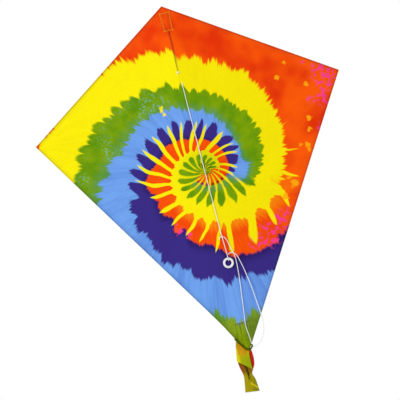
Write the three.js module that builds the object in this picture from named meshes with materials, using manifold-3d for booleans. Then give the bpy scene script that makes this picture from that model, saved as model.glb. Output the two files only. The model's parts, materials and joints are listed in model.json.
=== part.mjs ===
// Diamond kite, 30 inch class, standing upright: nose up (+Z), bridle side towards -Y,
// +X to the right as seen from the bridle side. Millimetres.
// The origin is the centre of the flat back face of the centre fitting, where the spars cross.

import * as THREE from 'three';
import { mergeVertices } from 'three/addons/utils/BufferGeometryUtils.js';
import Module from 'manifold-3d';

const manifold = await Module();
manifold.setup();

// ---- Driving dimensions ----
const HALF_SPAN = 378.2;        // spar crossing to wing tip, seen from the front
const NOSE_Z = 253;             // spar crossing to nose
const TAIL_Z = -603;            // spar crossing to the point where the trailing edges meet
const DIHEDRAL = 7 * Math.PI / 180;
const SAIL_FRONT_Y = -9.8;      // front face of the sail along the spine
const SAIL_THICK = 0.6;
const GAP = 0.3;                // between pieces that touch

const FOLD_X = 12;              // vertical fold axes of the two wings
const SPAR_Y = -5.5;            // plane of the rod centres at the fitting
const SPINE_R = 2;
const SPREADER_R = 1.5;
const SOCKET_R = 3.5;
const SOCKET_LENGTH = 28;
const HUB_HALF_WIDTH = 8;
const HUB_HALF_HEIGHT = 11;
const HUB_DEPTH = 8.9;

const SAIL_V = -4.3;            // sail front, measured from the spreader's centre line in a wing
const SPREADER_END_U = 355;
const HEM_WIDTH = 9;
const HEM_THICK = 0.5;
const POCKET_THICK = 0.6;
const SLEEVE_CLEARANCE = 1.1;   // between the spine and the pocket over it
const NOSE_POCKET = { halfWidth: 11.5, low: 194, high: 244 };
const TAIL_POCKET = { halfWidth: 11, low: -590, high: -534 };
const TIP_POCKET = { halfWidth: 20, clearance: 0.9, length: 32, inset: 8 };
const TIP_POCKET_INSET = { leading: 2, trailing: 5, tip: 3 };   // in from the cloth's edges
const HEM_LIP = 0.5;            // cloth left outside a hem
const HEM_TIP_GAP = 44;         // hem end to wing tip, clear of the tip pocket

const CAP_BORE_GAP = 0.15;
const SPINE_CAP = { wall: 0.7, length: 9, cover: 7.6 };
const SPREADER_CAP = { wall: 0.5, length: 7, cover: 6.2 };
const STOPPER = { wall: 1.4, length: 5 };

const CORD_R = 1;
const CORD_SIDES = 8;
const KNOT_R = 2.6;

const RING_R = 13;
const RING_EYE_R = 7.5;
const RING_THICK = 4;
const RING_CENTRE = new THREE.Vector3(3.6, -17, -385.9);

const TAIL_FRONT_Y = 0.2;
const TAIL_THICK = 0.8;
const TAIL_TOP_Z = -582;
const TAIL_TIE = new THREE.Vector3(-11, -1.2, -580.8);
const TAIL_TIE_R = 1.1;
const TAIL_TAB = { thick: 1, height: 14, above: 4 };    // its middle is above the tie

// ---- Colours and finishes ----
const FINISHES = {
  sailLeft: { color: 0xd9a81a, roughness: 0.55, metalness: 0 },
  sailRight: { color: 0xc98f1c, roughness: 0.55, metalness: 0 },
  hem: { color: 0x3c5a8c, roughness: 0.6, metalness: 0 },
  pocket: { color: 0xb8440c, roughness: 0.6, metalness: 0 },
  pocketGreen: { color: 0x6f8c12, roughness: 0.6, metalness: 0 },
  rod: { color: 0x1d1d1f, roughness: 0.35, metalness: 0 },
  vinyl: { color: 0x2a2a2c, roughness: 0.5, metalness: 0 },
  cord: { color: 0xf1efe9, roughness: 0.8, metalness: 0 },
  ring: { color: 0xf4f4f2, roughness: 0.35, metalness: 0 },
  tailFront: { color: 0xb6a410, roughness: 0.55, metalness: 0 },
  tailBack: { color: 0xb01c08, roughness: 0.55, metalness: 0 },
};

function piece(name, geometry, finish) {
  const mesh = new THREE.Mesh(geometry, new THREE.MeshStandardMaterial(FINISHES[finish]));
  mesh.name = name;
  return mesh;
}

// ---- Booleans ----
function toSolid(geometry) {
  const bare = geometry.clone();
  bare.deleteAttribute('normal');
  bare.deleteAttribute('uv');
  const merged = mergeVertices(bare, 1e-3);
  return new manifold.Manifold(new manifold.Mesh({
    numProp: 3,
    vertProperties: new Float32Array(merged.attributes.position.array),
    triVerts: new Uint32Array(merged.index.array),
  }));
}

function toGeometry(solid) {
  const mesh = solid.getMesh();
  const geometry = new THREE.BufferGeometry();
  geometry.setAttribute('position', new THREE.BufferAttribute(mesh.vertProperties, 3));
  geometry.setIndex(new THREE.BufferAttribute(mesh.triVerts, 1));
  geometry.computeVertexNormals();
  return geometry;
}

function cut(geometry, ...tools) {
  const result = tools.reduce((solid, tool) => solid.subtract(toSolid(tool)), toSolid(geometry));
  return toGeometry(result);
}

function common(geometry, tool) {
  return toGeometry(toSolid(geometry).intersect(toSolid(tool)));
}

// ---- Shapes ----
// A flat plate: an outline of [across, up] points in the X-Z plane, from front to back in Y.
function plate(outline, front, back) {
  const shape = new THREE.Shape(outline.map(([across, up]) => new THREE.Vector2(across, up)));
  const geometry = new THREE.ExtrudeGeometry(shape, { depth: back - front, bevelEnabled: false });
  return geometry.rotateX(Math.PI / 2).translate(0, back, 0);
}

// A rod or a hole along Z.
function rodZ(radius, low, high, x = 0, y = 0, sides = 12) {
  const geometry = new THREE.CylinderGeometry(radius, radius, high - low, sides);
  return geometry.rotateX(Math.PI / 2).translate(x, y, (low + high) / 2);
}

// A rod or a hole through the sail, along Y.
function rodY(radius, front, back, x, z, sides = 12) {
  const geometry = new THREE.CylinderGeometry(radius, radius, back - front, sides);
  return geometry.translate(x, (front + back) / 2, z);
}

// A turned piece with its axis along Z, from [radius, height] points.
function turned(profile, sides = 16) {
  const points = profile.map(([radius, height]) => new THREE.Vector2(radius, height));
  return new THREE.LatheGeometry(points, sides).rotateX(Math.PI / 2);
}

// A vinyl cap over the end of a rod, closed at the top, with its axis along Z and its mouth at 0.
function endCap(boreRadius, wall, length) {
  const outer = boreRadius + wall;
  return turned([
    [boreRadius, 0],
    [outer, 0],
    [outer, length - wall],
    [outer - wall, length],
    [0, length],
    [0, length - wall],
    [boreRadius, length - wall],
    [boreRadius, 0],
  ]);
}

// A short ring of soft tube round a rod, with its axis along Z and its middle at 0.
function collar(boreRadius, outerRadius, length) {
  return turned([
    [boreRadius, -length / 2],
    [outerRadius, -length / 2],
    [outerRadius, length / 2],
    [boreRadius, length / 2],
    [boreRadius, -length / 2],
  ]);
}

// The cross-section of a fabric pocket: flat flanges against the sail and an arch over a rod.
// The sail is at 0 and the arch stands towards +back. Points are [across, back].
function pocketSection(halfWidth, archRadius, rodDepth) {
  const steps = 6;
  const arch = (radius) => Array.from({ length: steps + 1 }, (_, i) => {
    const angle = Math.PI * i / steps;
    return [radius * Math.cos(angle), rodDepth + radius * Math.sin(angle)];
  });
  const outer = archRadius + POCKET_THICK;
  return [
    [halfWidth, GAP],
    [halfWidth, GAP + POCKET_THICK],
    [outer, GAP + POCKET_THICK],
    ...arch(outer),
    [-outer, GAP + POCKET_THICK],
    [-halfWidth, GAP + POCKET_THICK],
    [-halfWidth, GAP],
    [-archRadius, GAP],
    ...arch(archRadius).reverse(),
    [archRadius, GAP],
  ];
}

// A pocket along Z, standing towards +Y from sailBack.
function pocketZ(halfWidth, archRadius, rodDepth, low, high, sailBack) {
  const outline = pocketSection(halfWidth, archRadius, rodDepth);
  const shape = new THREE.Shape(outline.map(([across, back]) => new THREE.Vector2(across, back)));
  const geometry = new THREE.ExtrudeGeometry(shape, { depth: high - low, bevelEnabled: false });
  return geometry.translate(0, sailBack, low);
}

// A cord along a smooth curve through hand-placed points.
function cord(points, steps) {
  const section = new THREE.Shape();
  section.absarc(0, 0, CORD_R, 0, 2 * Math.PI);
  const path = new THREE.CatmullRomCurve3(points.map((p) => new THREE.Vector3(...p)), false, 'centripetal');
  path.arcLengthDivisions = 800;
  const outline = new THREE.Shape(section.getSpacedPoints(CORD_SIDES).slice(0, CORD_SIDES));
  return new THREE.ExtrudeGeometry(outline, { steps, bevelEnabled: false, extrudePath: path });
}

function knot(x, y, z, radius = KNOT_R) {
  return new THREE.SphereGeometry(radius, 12, 8).translate(x, y, z);
}

// ---- Spine: rod, ends, fitting, centre strip and pockets ----
const SPINE_TOP = 240;
const SPINE_BOTTOM = -600;
const STRIP_TIP_Z = -597;       // the centre strip is cut off square just above the tail point
const SAIL_BACK_Y = SAIL_FRONT_Y + SAIL_THICK;
const UPPER_HOLE = [-2.8, 85.6];
const LOWER_HOLE = [3.4, 63.4];
const HOLE_R = 2.1;

function leadingEdgeZ(x) {
  return NOSE_Z * (1 - x / HALF_SPAN);
}

function trailingEdgeZ(x) {
  return TAIL_Z * (1 - x / HALF_SPAN);
}

function centreStrip() {
  const tipX = HALF_SPAN * (1 - STRIP_TIP_Z / TAIL_Z);
  const outline = [
    [-FOLD_X, trailingEdgeZ(FOLD_X)],
    [-tipX, STRIP_TIP_Z],
    [tipX, STRIP_TIP_Z],
    [FOLD_X, trailingEdgeZ(FOLD_X)],
    [FOLD_X, leadingEdgeZ(FOLD_X)],
    [0, NOSE_Z],
    [-FOLD_X, leadingEdgeZ(FOLD_X)],
  ];
  const strip = plate(outline, SAIL_FRONT_Y, SAIL_BACK_Y);
  const holes = [UPPER_HOLE, LOWER_HOLE].map(([x, z]) => rodY(HOLE_R, SAIL_FRONT_Y - 1, SAIL_BACK_Y + 1, x, z));
  return cut(strip, ...holes);
}

// The hub is a block with rounded upright edges, a flat back and a hole for the spine.
function hub() {
  const corner = 3;
  const front = -HUB_DEPTH;
  const shape = new THREE.Shape();
  shape.moveTo(HUB_HALF_WIDTH, 0);
  shape.lineTo(-HUB_HALF_WIDTH, 0);
  shape.lineTo(-HUB_HALF_WIDTH, front + corner);
  shape.absarc(-HUB_HALF_WIDTH + corner, front + corner, corner, Math.PI, 1.5 * Math.PI, false);
  shape.absarc(HUB_HALF_WIDTH - corner, front + corner, corner, 1.5 * Math.PI, 2 * Math.PI, false);
  const block = new THREE.ExtrudeGeometry(shape, {
    depth: 2 * HUB_HALF_HEIGHT,
    bevelEnabled: false,
    curveSegments: 4,
  }).translate(0, 0, -HUB_HALF_HEIGHT);
  return cut(block, rodZ(SPINE_R + GAP, -2 * HUB_HALF_HEIGHT, 2 * HUB_HALF_HEIGHT, 0, SPAR_Y));
}

function spineParts() {
  const { wall, length, cover } = SPINE_CAP;
  const spineCap = () => endCap(SPINE_R + CAP_BORE_GAP, wall, length);
  const topCap = spineCap().translate(0, SPAR_Y, SPINE_TOP - cover);
  const bottomCap = spineCap().rotateX(Math.PI).translate(0, SPAR_Y, SPINE_BOTTOM + cover);
  const stopper = () => collar(SPINE_R + CAP_BORE_GAP, SPINE_R + STOPPER.wall, STOPPER.length);
  const stopperOffset = HUB_HALF_HEIGHT + GAP + STOPPER.length / 2;
  const spinePocket = ({ halfWidth, low, high }) => (
    pocketZ(halfWidth, SPINE_R + SLEEVE_CLEARANCE, SPAR_Y - SAIL_BACK_Y, low, high, SAIL_BACK_Y)
  );
  return [
    piece('spine_rod', rodZ(SPINE_R, SPINE_BOTTOM, SPINE_TOP, 0, SPAR_Y), 'rod'),
    piece('spine_cap_top', topCap, 'vinyl'),
    piece('spine_cap_bottom', bottomCap, 'vinyl'),
    piece('centre_fitting', hub(), 'vinyl'),
    piece('stopper_above', stopper().translate(0, SPAR_Y, stopperOffset), 'vinyl'),
    piece('stopper_below', stopper().translate(0, SPAR_Y, -stopperOffset), 'vinyl'),
    piece('sail_centre_strip', centreStrip(), 'sailLeft'),
    piece('nose_pocket', spinePocket(NOSE_POCKET), 'pocket'),
    piece('tail_pocket', spinePocket(TAIL_POCKET), 'pocketGreen'),
  ];
}

// ---- Wings ----
// A wing is modelled for the right side about its fold axis: u outwards, v backwards, z up.
// It is then turned back by the dihedral. The left wing is its mirror image.
const TIP_U = (HALF_SPAN - FOLD_X - (-SAIL_V) * Math.sin(DIHEDRAL)) / Math.cos(DIHEDRAL);
const ROOT_X = FOLD_X + (-SAIL_V) * Math.sin(DIHEDRAL);

const NOSE_CORNER_Z = leadingEdgeZ(ROOT_X);
const TAIL_CORNER_Z = trailingEdgeZ(ROOT_X);

// A hem strip on the back of the panel, along the edge from a root corner to the wing tip.
// It stops short of the tip pocket.
function hemOutline(cornerZ) {
  const side = Math.sign(cornerZ);
  const stretch = Math.hypot(1, cornerZ / TIP_U);
  const edge = (u) => cornerZ * (1 - u / TIP_U);
  const start = HEM_LIP;
  const end = TIP_U - HEM_TIP_GAP;
  const lip = side * HEM_LIP * stretch;
  const drop = side * HEM_WIDTH * stretch;
  return [
    [start, edge(start) - lip],
    [end, edge(end) - lip],
    [end, edge(end) - drop],
    [start, edge(start) - drop],
  ];
}

function mirrored(geometry) {
  const source = toSolid(geometry);
  return toGeometry(source.mirror([1, 0, 0]));
}

// A channel along u made from the pocket section: across the rod it spans z, and it stands back.
function pocketU(halfWidth, archRadius, rodDepth, low, high, sailBack) {
  const geometry = pocketZ(halfWidth, archRadius, rodDepth, low, high, sailBack);
  return geometry.rotateY(Math.PI / 2);
}

// The socket is a vinyl tube with a round inner end that turns in place beside the hub.
function socket() {
  const bore = SPREADER_R + GAP;
  const steps = 6;
  const dome = Array.from({ length: steps + 1 }, (_, i) => {
    const angle = Math.PI / 2 * i / steps;
    return [SOCKET_R * Math.sin(angle), -SOCKET_R * Math.cos(angle)];
  });
  return turned([
    ...dome,
    [SOCKET_R, SOCKET_LENGTH],
    [bore, SOCKET_LENGTH],
    [bore, SOCKET_R],
    [0, SOCKET_R],
  ], 12).rotateY(Math.PI / 2);
}

function spreader() {
  const start = SOCKET_R + GAP;
  return rodZ(SPREADER_R, start, SPREADER_END_U).rotateY(Math.PI / 2);
}

// The pocket is a channel over the rod, trimmed to lie just inside the cloth's two edges.
function tipPocket(sailBack) {
  const { halfWidth, clearance, length, inset } = TIP_POCKET;
  const outer = TIP_U - inset;
  const channel = pocketU(halfWidth, SPREADER_R + clearance, -sailBack, outer - length, outer, sailBack);
  const corner = plate([
    [0, NOSE_CORNER_Z - TIP_POCKET_INSET.leading],
    [0, TAIL_CORNER_Z + TIP_POCKET_INSET.trailing],
    [TIP_U - TIP_POCKET_INSET.tip, 0],
  ], -halfWidth, halfWidth);
  return common(channel, corner);
}

function wing(side, sign) {
  const sailBack = SAIL_V + SAIL_THICK;
  const hemFront = sailBack + GAP;
  const panel = plate([[0, NOSE_CORNER_Z], [0, TAIL_CORNER_Z], [TIP_U, 0]], SAIL_V, sailBack);
  const leading = plate(hemOutline(NOSE_CORNER_Z), hemFront, hemFront + HEM_THICK);
  const trailing = plate(hemOutline(TAIL_CORNER_Z), hemFront, hemFront + HEM_THICK);
  const { wall, length, cover } = SPREADER_CAP;
  const cap = endCap(SPREADER_R + CAP_BORE_GAP, wall, length);
  cap.rotateY(Math.PI / 2).translate(SPREADER_END_U - cover, 0, 0);
  const shapes = [
    [`sail_${side}_panel`, panel, side === 'left' ? 'sailLeft' : 'sailRight'],
    [`${side}_leading_hem`, leading, 'hem'],
    [`${side}_trailing_hem`, trailing, 'hem'],
    [`${side}_tip_pocket`, tipPocket(sailBack), 'pocket'],
    [`${side}_spreader_rod`, spreader(), 'rod'],
    [`${side}_spreader_cap`, cap, 'vinyl'],
    [`${side}_fitting_socket`, socket(), 'vinyl'],
  ];
  const group = new THREE.Group();
  group.position.set(sign * FOLD_X, SPAR_Y, 0);
  group.rotation.z = sign * DIHEDRAL;
  for (const [name, geometry, finish] of shapes) {
    group.add(piece(name, sign > 0 ? geometry : mirrored(geometry), finish));
  }
  return group;
}

// ---- Bridle: one line, tied round the spine, knotted at the tow ring and tied at the tail ----
const TOP_KNOT = [-0.8, -12.6, 89.2];
const SLIP_KNOT = [3.9, -14, -320.7];
const TAIL_KNOT = [10.2, -12.6, -596];
const HITCH_X = 5.6;            // where the line goes round the top of the ring
const HITCH_Z = RING_CENTRE.z + (RING_R + RING_EYE_R) / 2 - 0.15;

const SPINE_HITCH_ROUTE = [
  [-2.0, -11.8, 86.0],
  [-2.4, -10.8, 85.9],
  [-3.3, -8.2, 84.6],
  [-4.5, -5.5, 81.5],
  [-2.7, -2.2, 77.5],
  [2.7, -2.2, 71.5],
  [4.5, -5.5, 67],
  [3.9, -8.2, 64.6],
  [3.1, -10.6, 62.4],
  [2.6, -12.6, 59],
  [2.5, -13.2, 54.5],
];

const UPPER_ROUTE = [
  [2.5, -13.24, 54.2],
  [2.5, -13.3, 44],
  [2.4, -13.2, 10],
  [2.6, -13.1, -40],
  [2.9, -13.0, -95],
  [3.1, -13.0, -150],
  [3.3, -13.1, -205],
  [3.5, -13.3, -255],
  [3.7, -13.6, -295],
  [3.8, -13.9, -317.8],
];

const RING_LOOP_ROUTE = [
  [4.1, -15.4, -323.4],
  [4.5, -17.4, -331],
  [5.0, -19.8, -346],
  [5.4, -21.6, -362],
  [HITCH_X, -22.2, HITCH_Z + 1],
  [HITCH_X, -20.6, HITCH_Z - 3.7],
  [HITCH_X, -17, HITCH_Z - 5.3],
  [HITCH_X, -13.4, HITCH_Z - 3.7],
  [HITCH_X, -11.8, HITCH_Z + 1],
  [5.4, -11.8, -362],
  [5.0, -12.0, -346],
  [4.5, -12.3, -331],
  [4.1, -12.7, -323.6],
];

const SLACK_ROUTE = [
  [7.6, -16.0, -366],
  [11.5, -16.2, -364.0],
  [17.6, -16.0, -363.6],
  [23.5, -15.7, -367.2],
  [27.8, -15.3, -372.9],
  [32.9, -14.6, -391.7],
  [36.5, -14.0, -409],
  [39.1, -13.5, -425.7],
  [42.0, -13.1, -445],
  [44.1, -12.9, -464.4],
  [46.6, -12.7, -492],
  [49.2, -12.6, -521.8],
  [50.2, -12.5, -540],
  [48.4, -12.4, -557],
  [42.6, -12.3, -574],
  [33.0, -12.3, -587.5],
  [22.5, -12.4, -595.0],
  [13.1, -12.5, -596.9],
];

const LOWER_ROUTE = [
  [6.8, -13.4, -321.9],
  [10.2, -12.6, -325.4],
  [13.5, -12.1, -331.9],
  [16.9, -11.7, -347.7],
  [20.4, -11.5, -361],
  [22.5, -11.4, -374.1],
  [23.0, -11.5, -389],
  [22.3, -11.7, -404.0],
  [19.7, -12.0, -433.2],
  [15.3, -12.3, -469.5],
  [10.9, -12.5, -505.8],
  [7.4, -12.6, -532],
  [6.5, -12.6, -545],
  [7.6, -12.6, -559],
  [9.2, -12.6, -577],
  [10.0, -12.6, -593.0],
];

const TAIL_LOOP_ROUTE = [
  [8.6, -11.0, -598.2],
  [6.4, -8.4, -600.2],
  [4.6, -4.9, -601],
  [2.2, -1.9, -601.2],
  [-1.6, -1.6, -601.2],
  [-4.3, -5.0, -601.2],
  [-3.6, -9.4, -601.2],
  [0, -12.1, -601.2],
  [4.6, -13.2, -600.6],
  [8.4, -13.6, -598.7],
];

const KNOT_TAG_ROUTE = [
  [1.1, -14.2, -320.9],
  [-1.6, -14.3, -322.4],
  [-3.6, -14.2, -325.6],
];

function bridle() {
  return [
    piece('bridle_top_knot', knot(...TOP_KNOT), 'cord'),
    piece('bridle_spine_hitch', cord(SPINE_HITCH_ROUTE, 18), 'cord'),
    piece('bridle_upper_line', cord(UPPER_ROUTE, 76), 'cord'),
    piece('slip_knot', knot(...SLIP_KNOT), 'cord'),
    piece('slip_knot_tag', cord(KNOT_TAG_ROUTE, 4), 'cord'),
    piece('bridle_ring_loop', cord(RING_LOOP_ROUTE, 34), 'cord'),
    piece('bridle_slack_strand', cord(SLACK_ROUTE, 60), 'cord'),
    piece('bridle_lower_line', cord(LOWER_ROUTE, 60), 'cord'),
    piece('bridle_tail_knot', knot(...TAIL_KNOT), 'cord'),
    piece('bridle_tail_loop', cord(TAIL_LOOP_ROUTE, 16), 'cord'),
  ];
}

// The tow ring lies flat to the sail, with its axis along Y.
function towRing() {
  const half = RING_THICK / 2;
  const chamfer = 1;
  const ring = turned([
    [RING_EYE_R, -half + chamfer],
    [RING_EYE_R + chamfer, -half],
    [RING_R - chamfer, -half],
    [RING_R, -half + chamfer],
    [RING_R, half - chamfer],
    [RING_R - chamfer, half],
    [RING_EYE_R + chamfer, half],
    [RING_EYE_R, half - chamfer],
    [RING_EYE_R, -half + chamfer],
  ], 32);
  ring.rotateX(Math.PI / 2).translate(RING_CENTRE.x, RING_CENTRE.y, RING_CENTRE.z);
  return piece('tow_ring', ring, 'ring');
}

// ---- Tail: a streamer of the sail's own cloth in two layers, tied to a tab on the tail pocket ----
function tail() {
  const frontLayer = [
    [-27, TAIL_TOP_Z],
    [-31, -602],
    [-35, -622],
    [-31, -640],
    [-26.5, -661],
    [-33, -699],
    [1, -703],
    [-1.5, -675],
    [-7, -657],
    [-2, -644],
    [1, -620],
    [2, TAIL_TOP_Z],
  ];
  const backLayer = [
    [-24, TAIL_TOP_Z],
    [-29, -620],
    [-22, -655],
    [-10, -654],
    [0.5, -644],
    [5, -616],
    [4, TAIL_TOP_Z],
  ];
  const backFront = TAIL_FRONT_Y + TAIL_THICK + GAP;
  const tabBack = TAIL_TIE.y - TAIL_TIE_R - GAP;
  const tabFront = SAIL_BACK_Y + 2 * GAP + POCKET_THICK;
  const tab = new THREE.BoxGeometry(TAIL_TAB.thick, tabBack - tabFront, TAIL_TAB.height);
  tab.translate(TAIL_TIE.x, (tabFront + tabBack) / 2, TAIL_TIE.z + TAIL_TAB.above);
  return [
    piece('tail_tab', tab, 'pocketGreen'),
    piece('tail_tie', knot(TAIL_TIE.x, TAIL_TIE.y, TAIL_TIE.z, TAIL_TIE_R), 'cord'),
    piece('tail_streamer_front', plate(frontLayer, TAIL_FRONT_Y, TAIL_FRONT_Y + TAIL_THICK), 'tailFront'),
    piece('tail_streamer_back', plate(backLayer, backFront, backFront + TAIL_THICK), 'tailBack'),
  ];
}

const kite = new THREE.Group();
kite.add(...spineParts(), wing('left', -1), wing('right', 1), ...bridle(), towRing(), ...tail());

export default kite;
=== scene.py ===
import json
import math

import bmesh
import bpy
import numpy as np
from mathutils import Matrix, Vector

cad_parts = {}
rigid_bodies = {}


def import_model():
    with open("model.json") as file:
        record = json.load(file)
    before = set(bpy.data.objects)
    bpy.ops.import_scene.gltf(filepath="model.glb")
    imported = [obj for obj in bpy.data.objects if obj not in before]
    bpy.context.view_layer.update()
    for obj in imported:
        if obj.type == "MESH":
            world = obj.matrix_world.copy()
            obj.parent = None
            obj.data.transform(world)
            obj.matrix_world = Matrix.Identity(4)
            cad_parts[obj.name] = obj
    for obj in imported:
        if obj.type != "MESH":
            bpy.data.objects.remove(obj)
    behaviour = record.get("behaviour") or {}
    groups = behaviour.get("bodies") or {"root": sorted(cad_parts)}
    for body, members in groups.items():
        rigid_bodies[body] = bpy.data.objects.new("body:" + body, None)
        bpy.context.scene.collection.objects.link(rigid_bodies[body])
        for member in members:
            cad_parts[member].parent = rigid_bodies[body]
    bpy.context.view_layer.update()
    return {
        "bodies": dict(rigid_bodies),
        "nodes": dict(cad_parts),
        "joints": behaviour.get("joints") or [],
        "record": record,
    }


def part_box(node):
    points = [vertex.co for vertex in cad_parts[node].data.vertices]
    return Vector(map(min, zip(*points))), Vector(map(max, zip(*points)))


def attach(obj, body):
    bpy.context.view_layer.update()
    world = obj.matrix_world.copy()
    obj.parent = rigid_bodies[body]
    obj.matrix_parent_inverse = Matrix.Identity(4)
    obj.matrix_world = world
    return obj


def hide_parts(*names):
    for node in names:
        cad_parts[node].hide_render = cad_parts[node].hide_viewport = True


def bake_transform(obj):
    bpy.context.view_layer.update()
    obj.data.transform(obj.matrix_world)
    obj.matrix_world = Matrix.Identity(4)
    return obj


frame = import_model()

# Diamond kite with a tie-dye spiral print. Metres, nose up (+Z), bridle side towards -Y.
# The origin is the back of the centre fitting, where the spars cross.

# ---- Driving sizes, from the frame and the CAD source ----
MM = 0.001
HALF_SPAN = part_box("sail_right_panel")[1].x
NOSE_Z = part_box("sail_centre_strip")[1].z
TAIL_Z = -0.603
DIHEDRAL = math.radians(7)
FOLD_X = 0.012                  # where each wing folds, to the side of the spine
SPAR_Y = -0.0055                # the middle of the spine and of the spreaders' inner ends
SPINE_R = 0.002
SPREADER_R = 0.0015
SPINE_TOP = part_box("spine_rod")[1].z
SPINE_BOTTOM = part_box("spine_rod")[0].z
SPREADER_END_U = 0.355          # along the spreader from the fold
SOCKET_R = 0.0035
SOCKET_LENGTH = 0.028
HUB_LOW, HUB_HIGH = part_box("centre_fitting")
CORD_D = 0.002                  # the bridle line
CLOTH_THICK = 0.00035
HEM_INSET = 0.007               # from the edge of the cloth to the hem's stitches
RIDGE_Y = -0.0113               # where the two flat halves of the sail would meet
RIDGE_ROUND = 0.008
STRAND_RELIEF = 0.12            # how deep the grooves between strands are, as a share of the radius
SIDES = (("left", -1), ("right", 1))
FLAT = "flat"                   # the UV map of cloth, line and rods: metres on the flat piece


# ---- Meshes ----
def clean(mesh, weld=False):
    """Turns all faces outwards. With weld, points that fall together are joined first."""
    work = bmesh.new()
    work.from_mesh(mesh)
    if weld:
        bmesh.ops.remove_doubles(work, verts=work.verts, dist=1e-7)
        bmesh.ops.dissolve_degenerate(work, edges=work.edges, dist=1e-7)
    bmesh.ops.recalc_face_normals(work, faces=work.faces)
    work.to_mesh(mesh)
    work.free()


def new_object(name, vertices, faces, materials, flat=None, face_materials=None, smooth=True):
    """A mesh object with its faces pointing out. flat holds one UV pair for each vertex."""
    mesh = bpy.data.meshes.new(name)
    mesh.from_pydata([tuple(v) for v in vertices], [], [tuple(f) for f in faces])
    for material in materials:
        mesh.materials.append(material)
    if face_materials is not None:
        mesh.polygons.foreach_set("material_index", np.array(face_materials, np.int32))
    if flat is not None:
        corners = np.empty(len(mesh.loops), np.int32)
        mesh.loops.foreach_get("vertex_index", corners)
        layer = mesh.uv_layers.new(name=FLAT)
        layer.data.foreach_set("uv", np.asarray(flat, np.float32)[corners].ravel())
    clean(mesh)
    mesh.polygons.foreach_set("use_smooth", [smooth] * len(mesh.polygons))
    piece = bpy.data.objects.new(name, mesh)
    bpy.context.scene.collection.objects.link(piece)
    return piece


def grid_faces(rows, columns, offset=0):
    """The quads of a grid of points that is counted row by row."""
    row, column = np.meshgrid(np.arange(rows - 1), np.arange(columns - 1), indexing="ij")
    first = (row * columns + column).ravel() + offset
    return np.stack([first, first + 1, first + columns + 1, first + columns], axis=1)


def loop_faces(rows, columns, wrap=False):
    """The quads of a grid of points whose rows are closed loops. With wrap the last row meets the first."""
    row, column = np.meshgrid(np.arange(rows if wrap else rows - 1), np.arange(columns), indexing="ij")
    after, following = (row + 1) % rows * columns, (column + 1) % columns
    row = row * columns
    corners = [row + column, row + following, after + following, after + column]
    return np.stack(corners, axis=-1).reshape(-1, 4)


def thin_sheet(name, front, back, flat, materials):
    """A closed solid of cloth from two grids of points. The front takes the first material."""
    rows, columns = front.shape[:2]
    count = rows * columns
    faces_front = grid_faces(rows, columns)
    faces_back = grid_faces(rows, columns, count)[:, ::-1]
    index = np.arange(count).reshape(rows, columns)
    rim = np.concatenate([index[0, :-1], index[:-1, -1], index[-1, :0:-1], index[:0:-1, 0]])
    following = np.roll(rim, -1)
    walls = np.stack([following, rim, rim + count, following + count], axis=1)
    faces = np.concatenate([faces_front, faces_back, walls])
    last = len(materials) - 1
    kinds = [0] * len(faces_front) + [last] * (len(faces_back) + len(walls))
    vertices = np.concatenate([front.reshape(-1, 3), back.reshape(-1, 3)])
    both = np.concatenate([flat.reshape(-1, 2)] * 2)
    return new_object(name, vertices, faces, materials, both, kinds)


def swept(name, rings, flat, materials):
    """A closed solid from a row of rings of points, each ring joined to the next."""
    count, sides = rings.shape[:2]
    faces = loop_faces(count, sides).tolist()
    faces.append(list(range(sides))[::-1])
    faces.append([(count - 1) * sides + k for k in range(sides)])
    return new_object(name, rings.reshape(-1, 3), faces, materials, flat.reshape(-1, 2))


def interpolated(p, q, low, high, t):
    """The point on the line through p (where t is low) and q (where t is high)."""
    return (high - t) / (high - low) * p + (t - low) / (high - low) * q


def smooth_path(points, spacing):
    """Even steps along the centripetal Catmull-Rom curve through the given points."""
    given = np.array(points, float)
    given = np.vstack([2 * given[0] - given[1], given, 2 * given[-1] - given[-2]])
    curve = []
    for a, b, c, d in zip(given, given[1:], given[2:], given[3:]):
        ta, tb, tc, td = np.cumsum([0] + [np.linalg.norm(q - p) ** 0.5 for p, q in ((a, b), (b, c), (c, d))])
        t = np.linspace(tb, tc, 24, endpoint=False)[:, None]
        ab = interpolated(a, b, ta, tb, t)
        bc = interpolated(b, c, tb, tc, t)
        cd = interpolated(c, d, tc, td, t)
        abc = interpolated(ab, bc, ta, tc, t)
        bcd = interpolated(bc, cd, tb, td, t)
        curve.extend(interpolated(abc, bcd, tb, tc, t))
    return even_steps(np.vstack([curve, given[-2]]), spacing)


def distances(path):
    """How far along the line each of its points is."""
    return np.concatenate([[0], np.cumsum(np.linalg.norm(np.diff(path, axis=0), axis=1))])


def resampled(path, count):
    """The same line as that many points, an even distance apart."""
    along = distances(path)
    steps = np.linspace(0, along[-1], count)
    return np.stack([np.interp(steps, along, path[:, k]) for k in range(3)], axis=1)


def even_steps(path, spacing):
    return resampled(path, max(2, math.ceil(distances(path)[-1] / spacing)) + 1)


def full_turn(count):
    return np.linspace(0, 2 * math.pi, count, endpoint=False)


def side_axes(path):
    """Two directions across the line at each of its points, carried along it without a twist."""
    tangents = np.gradient(path, axis=0)
    tangents /= np.linalg.norm(tangents, axis=1)[:, None]
    start = Vector(tangents[0]).orthogonal().normalized()
    across = [np.array(start)]
    for tangent in tangents[1:]:
        carried = across[-1] - tangent * (across[-1] @ tangent)
        across.append(carried / np.linalg.norm(carried))
    across = np.array(across)
    return across, np.cross(tangents, across)


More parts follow.
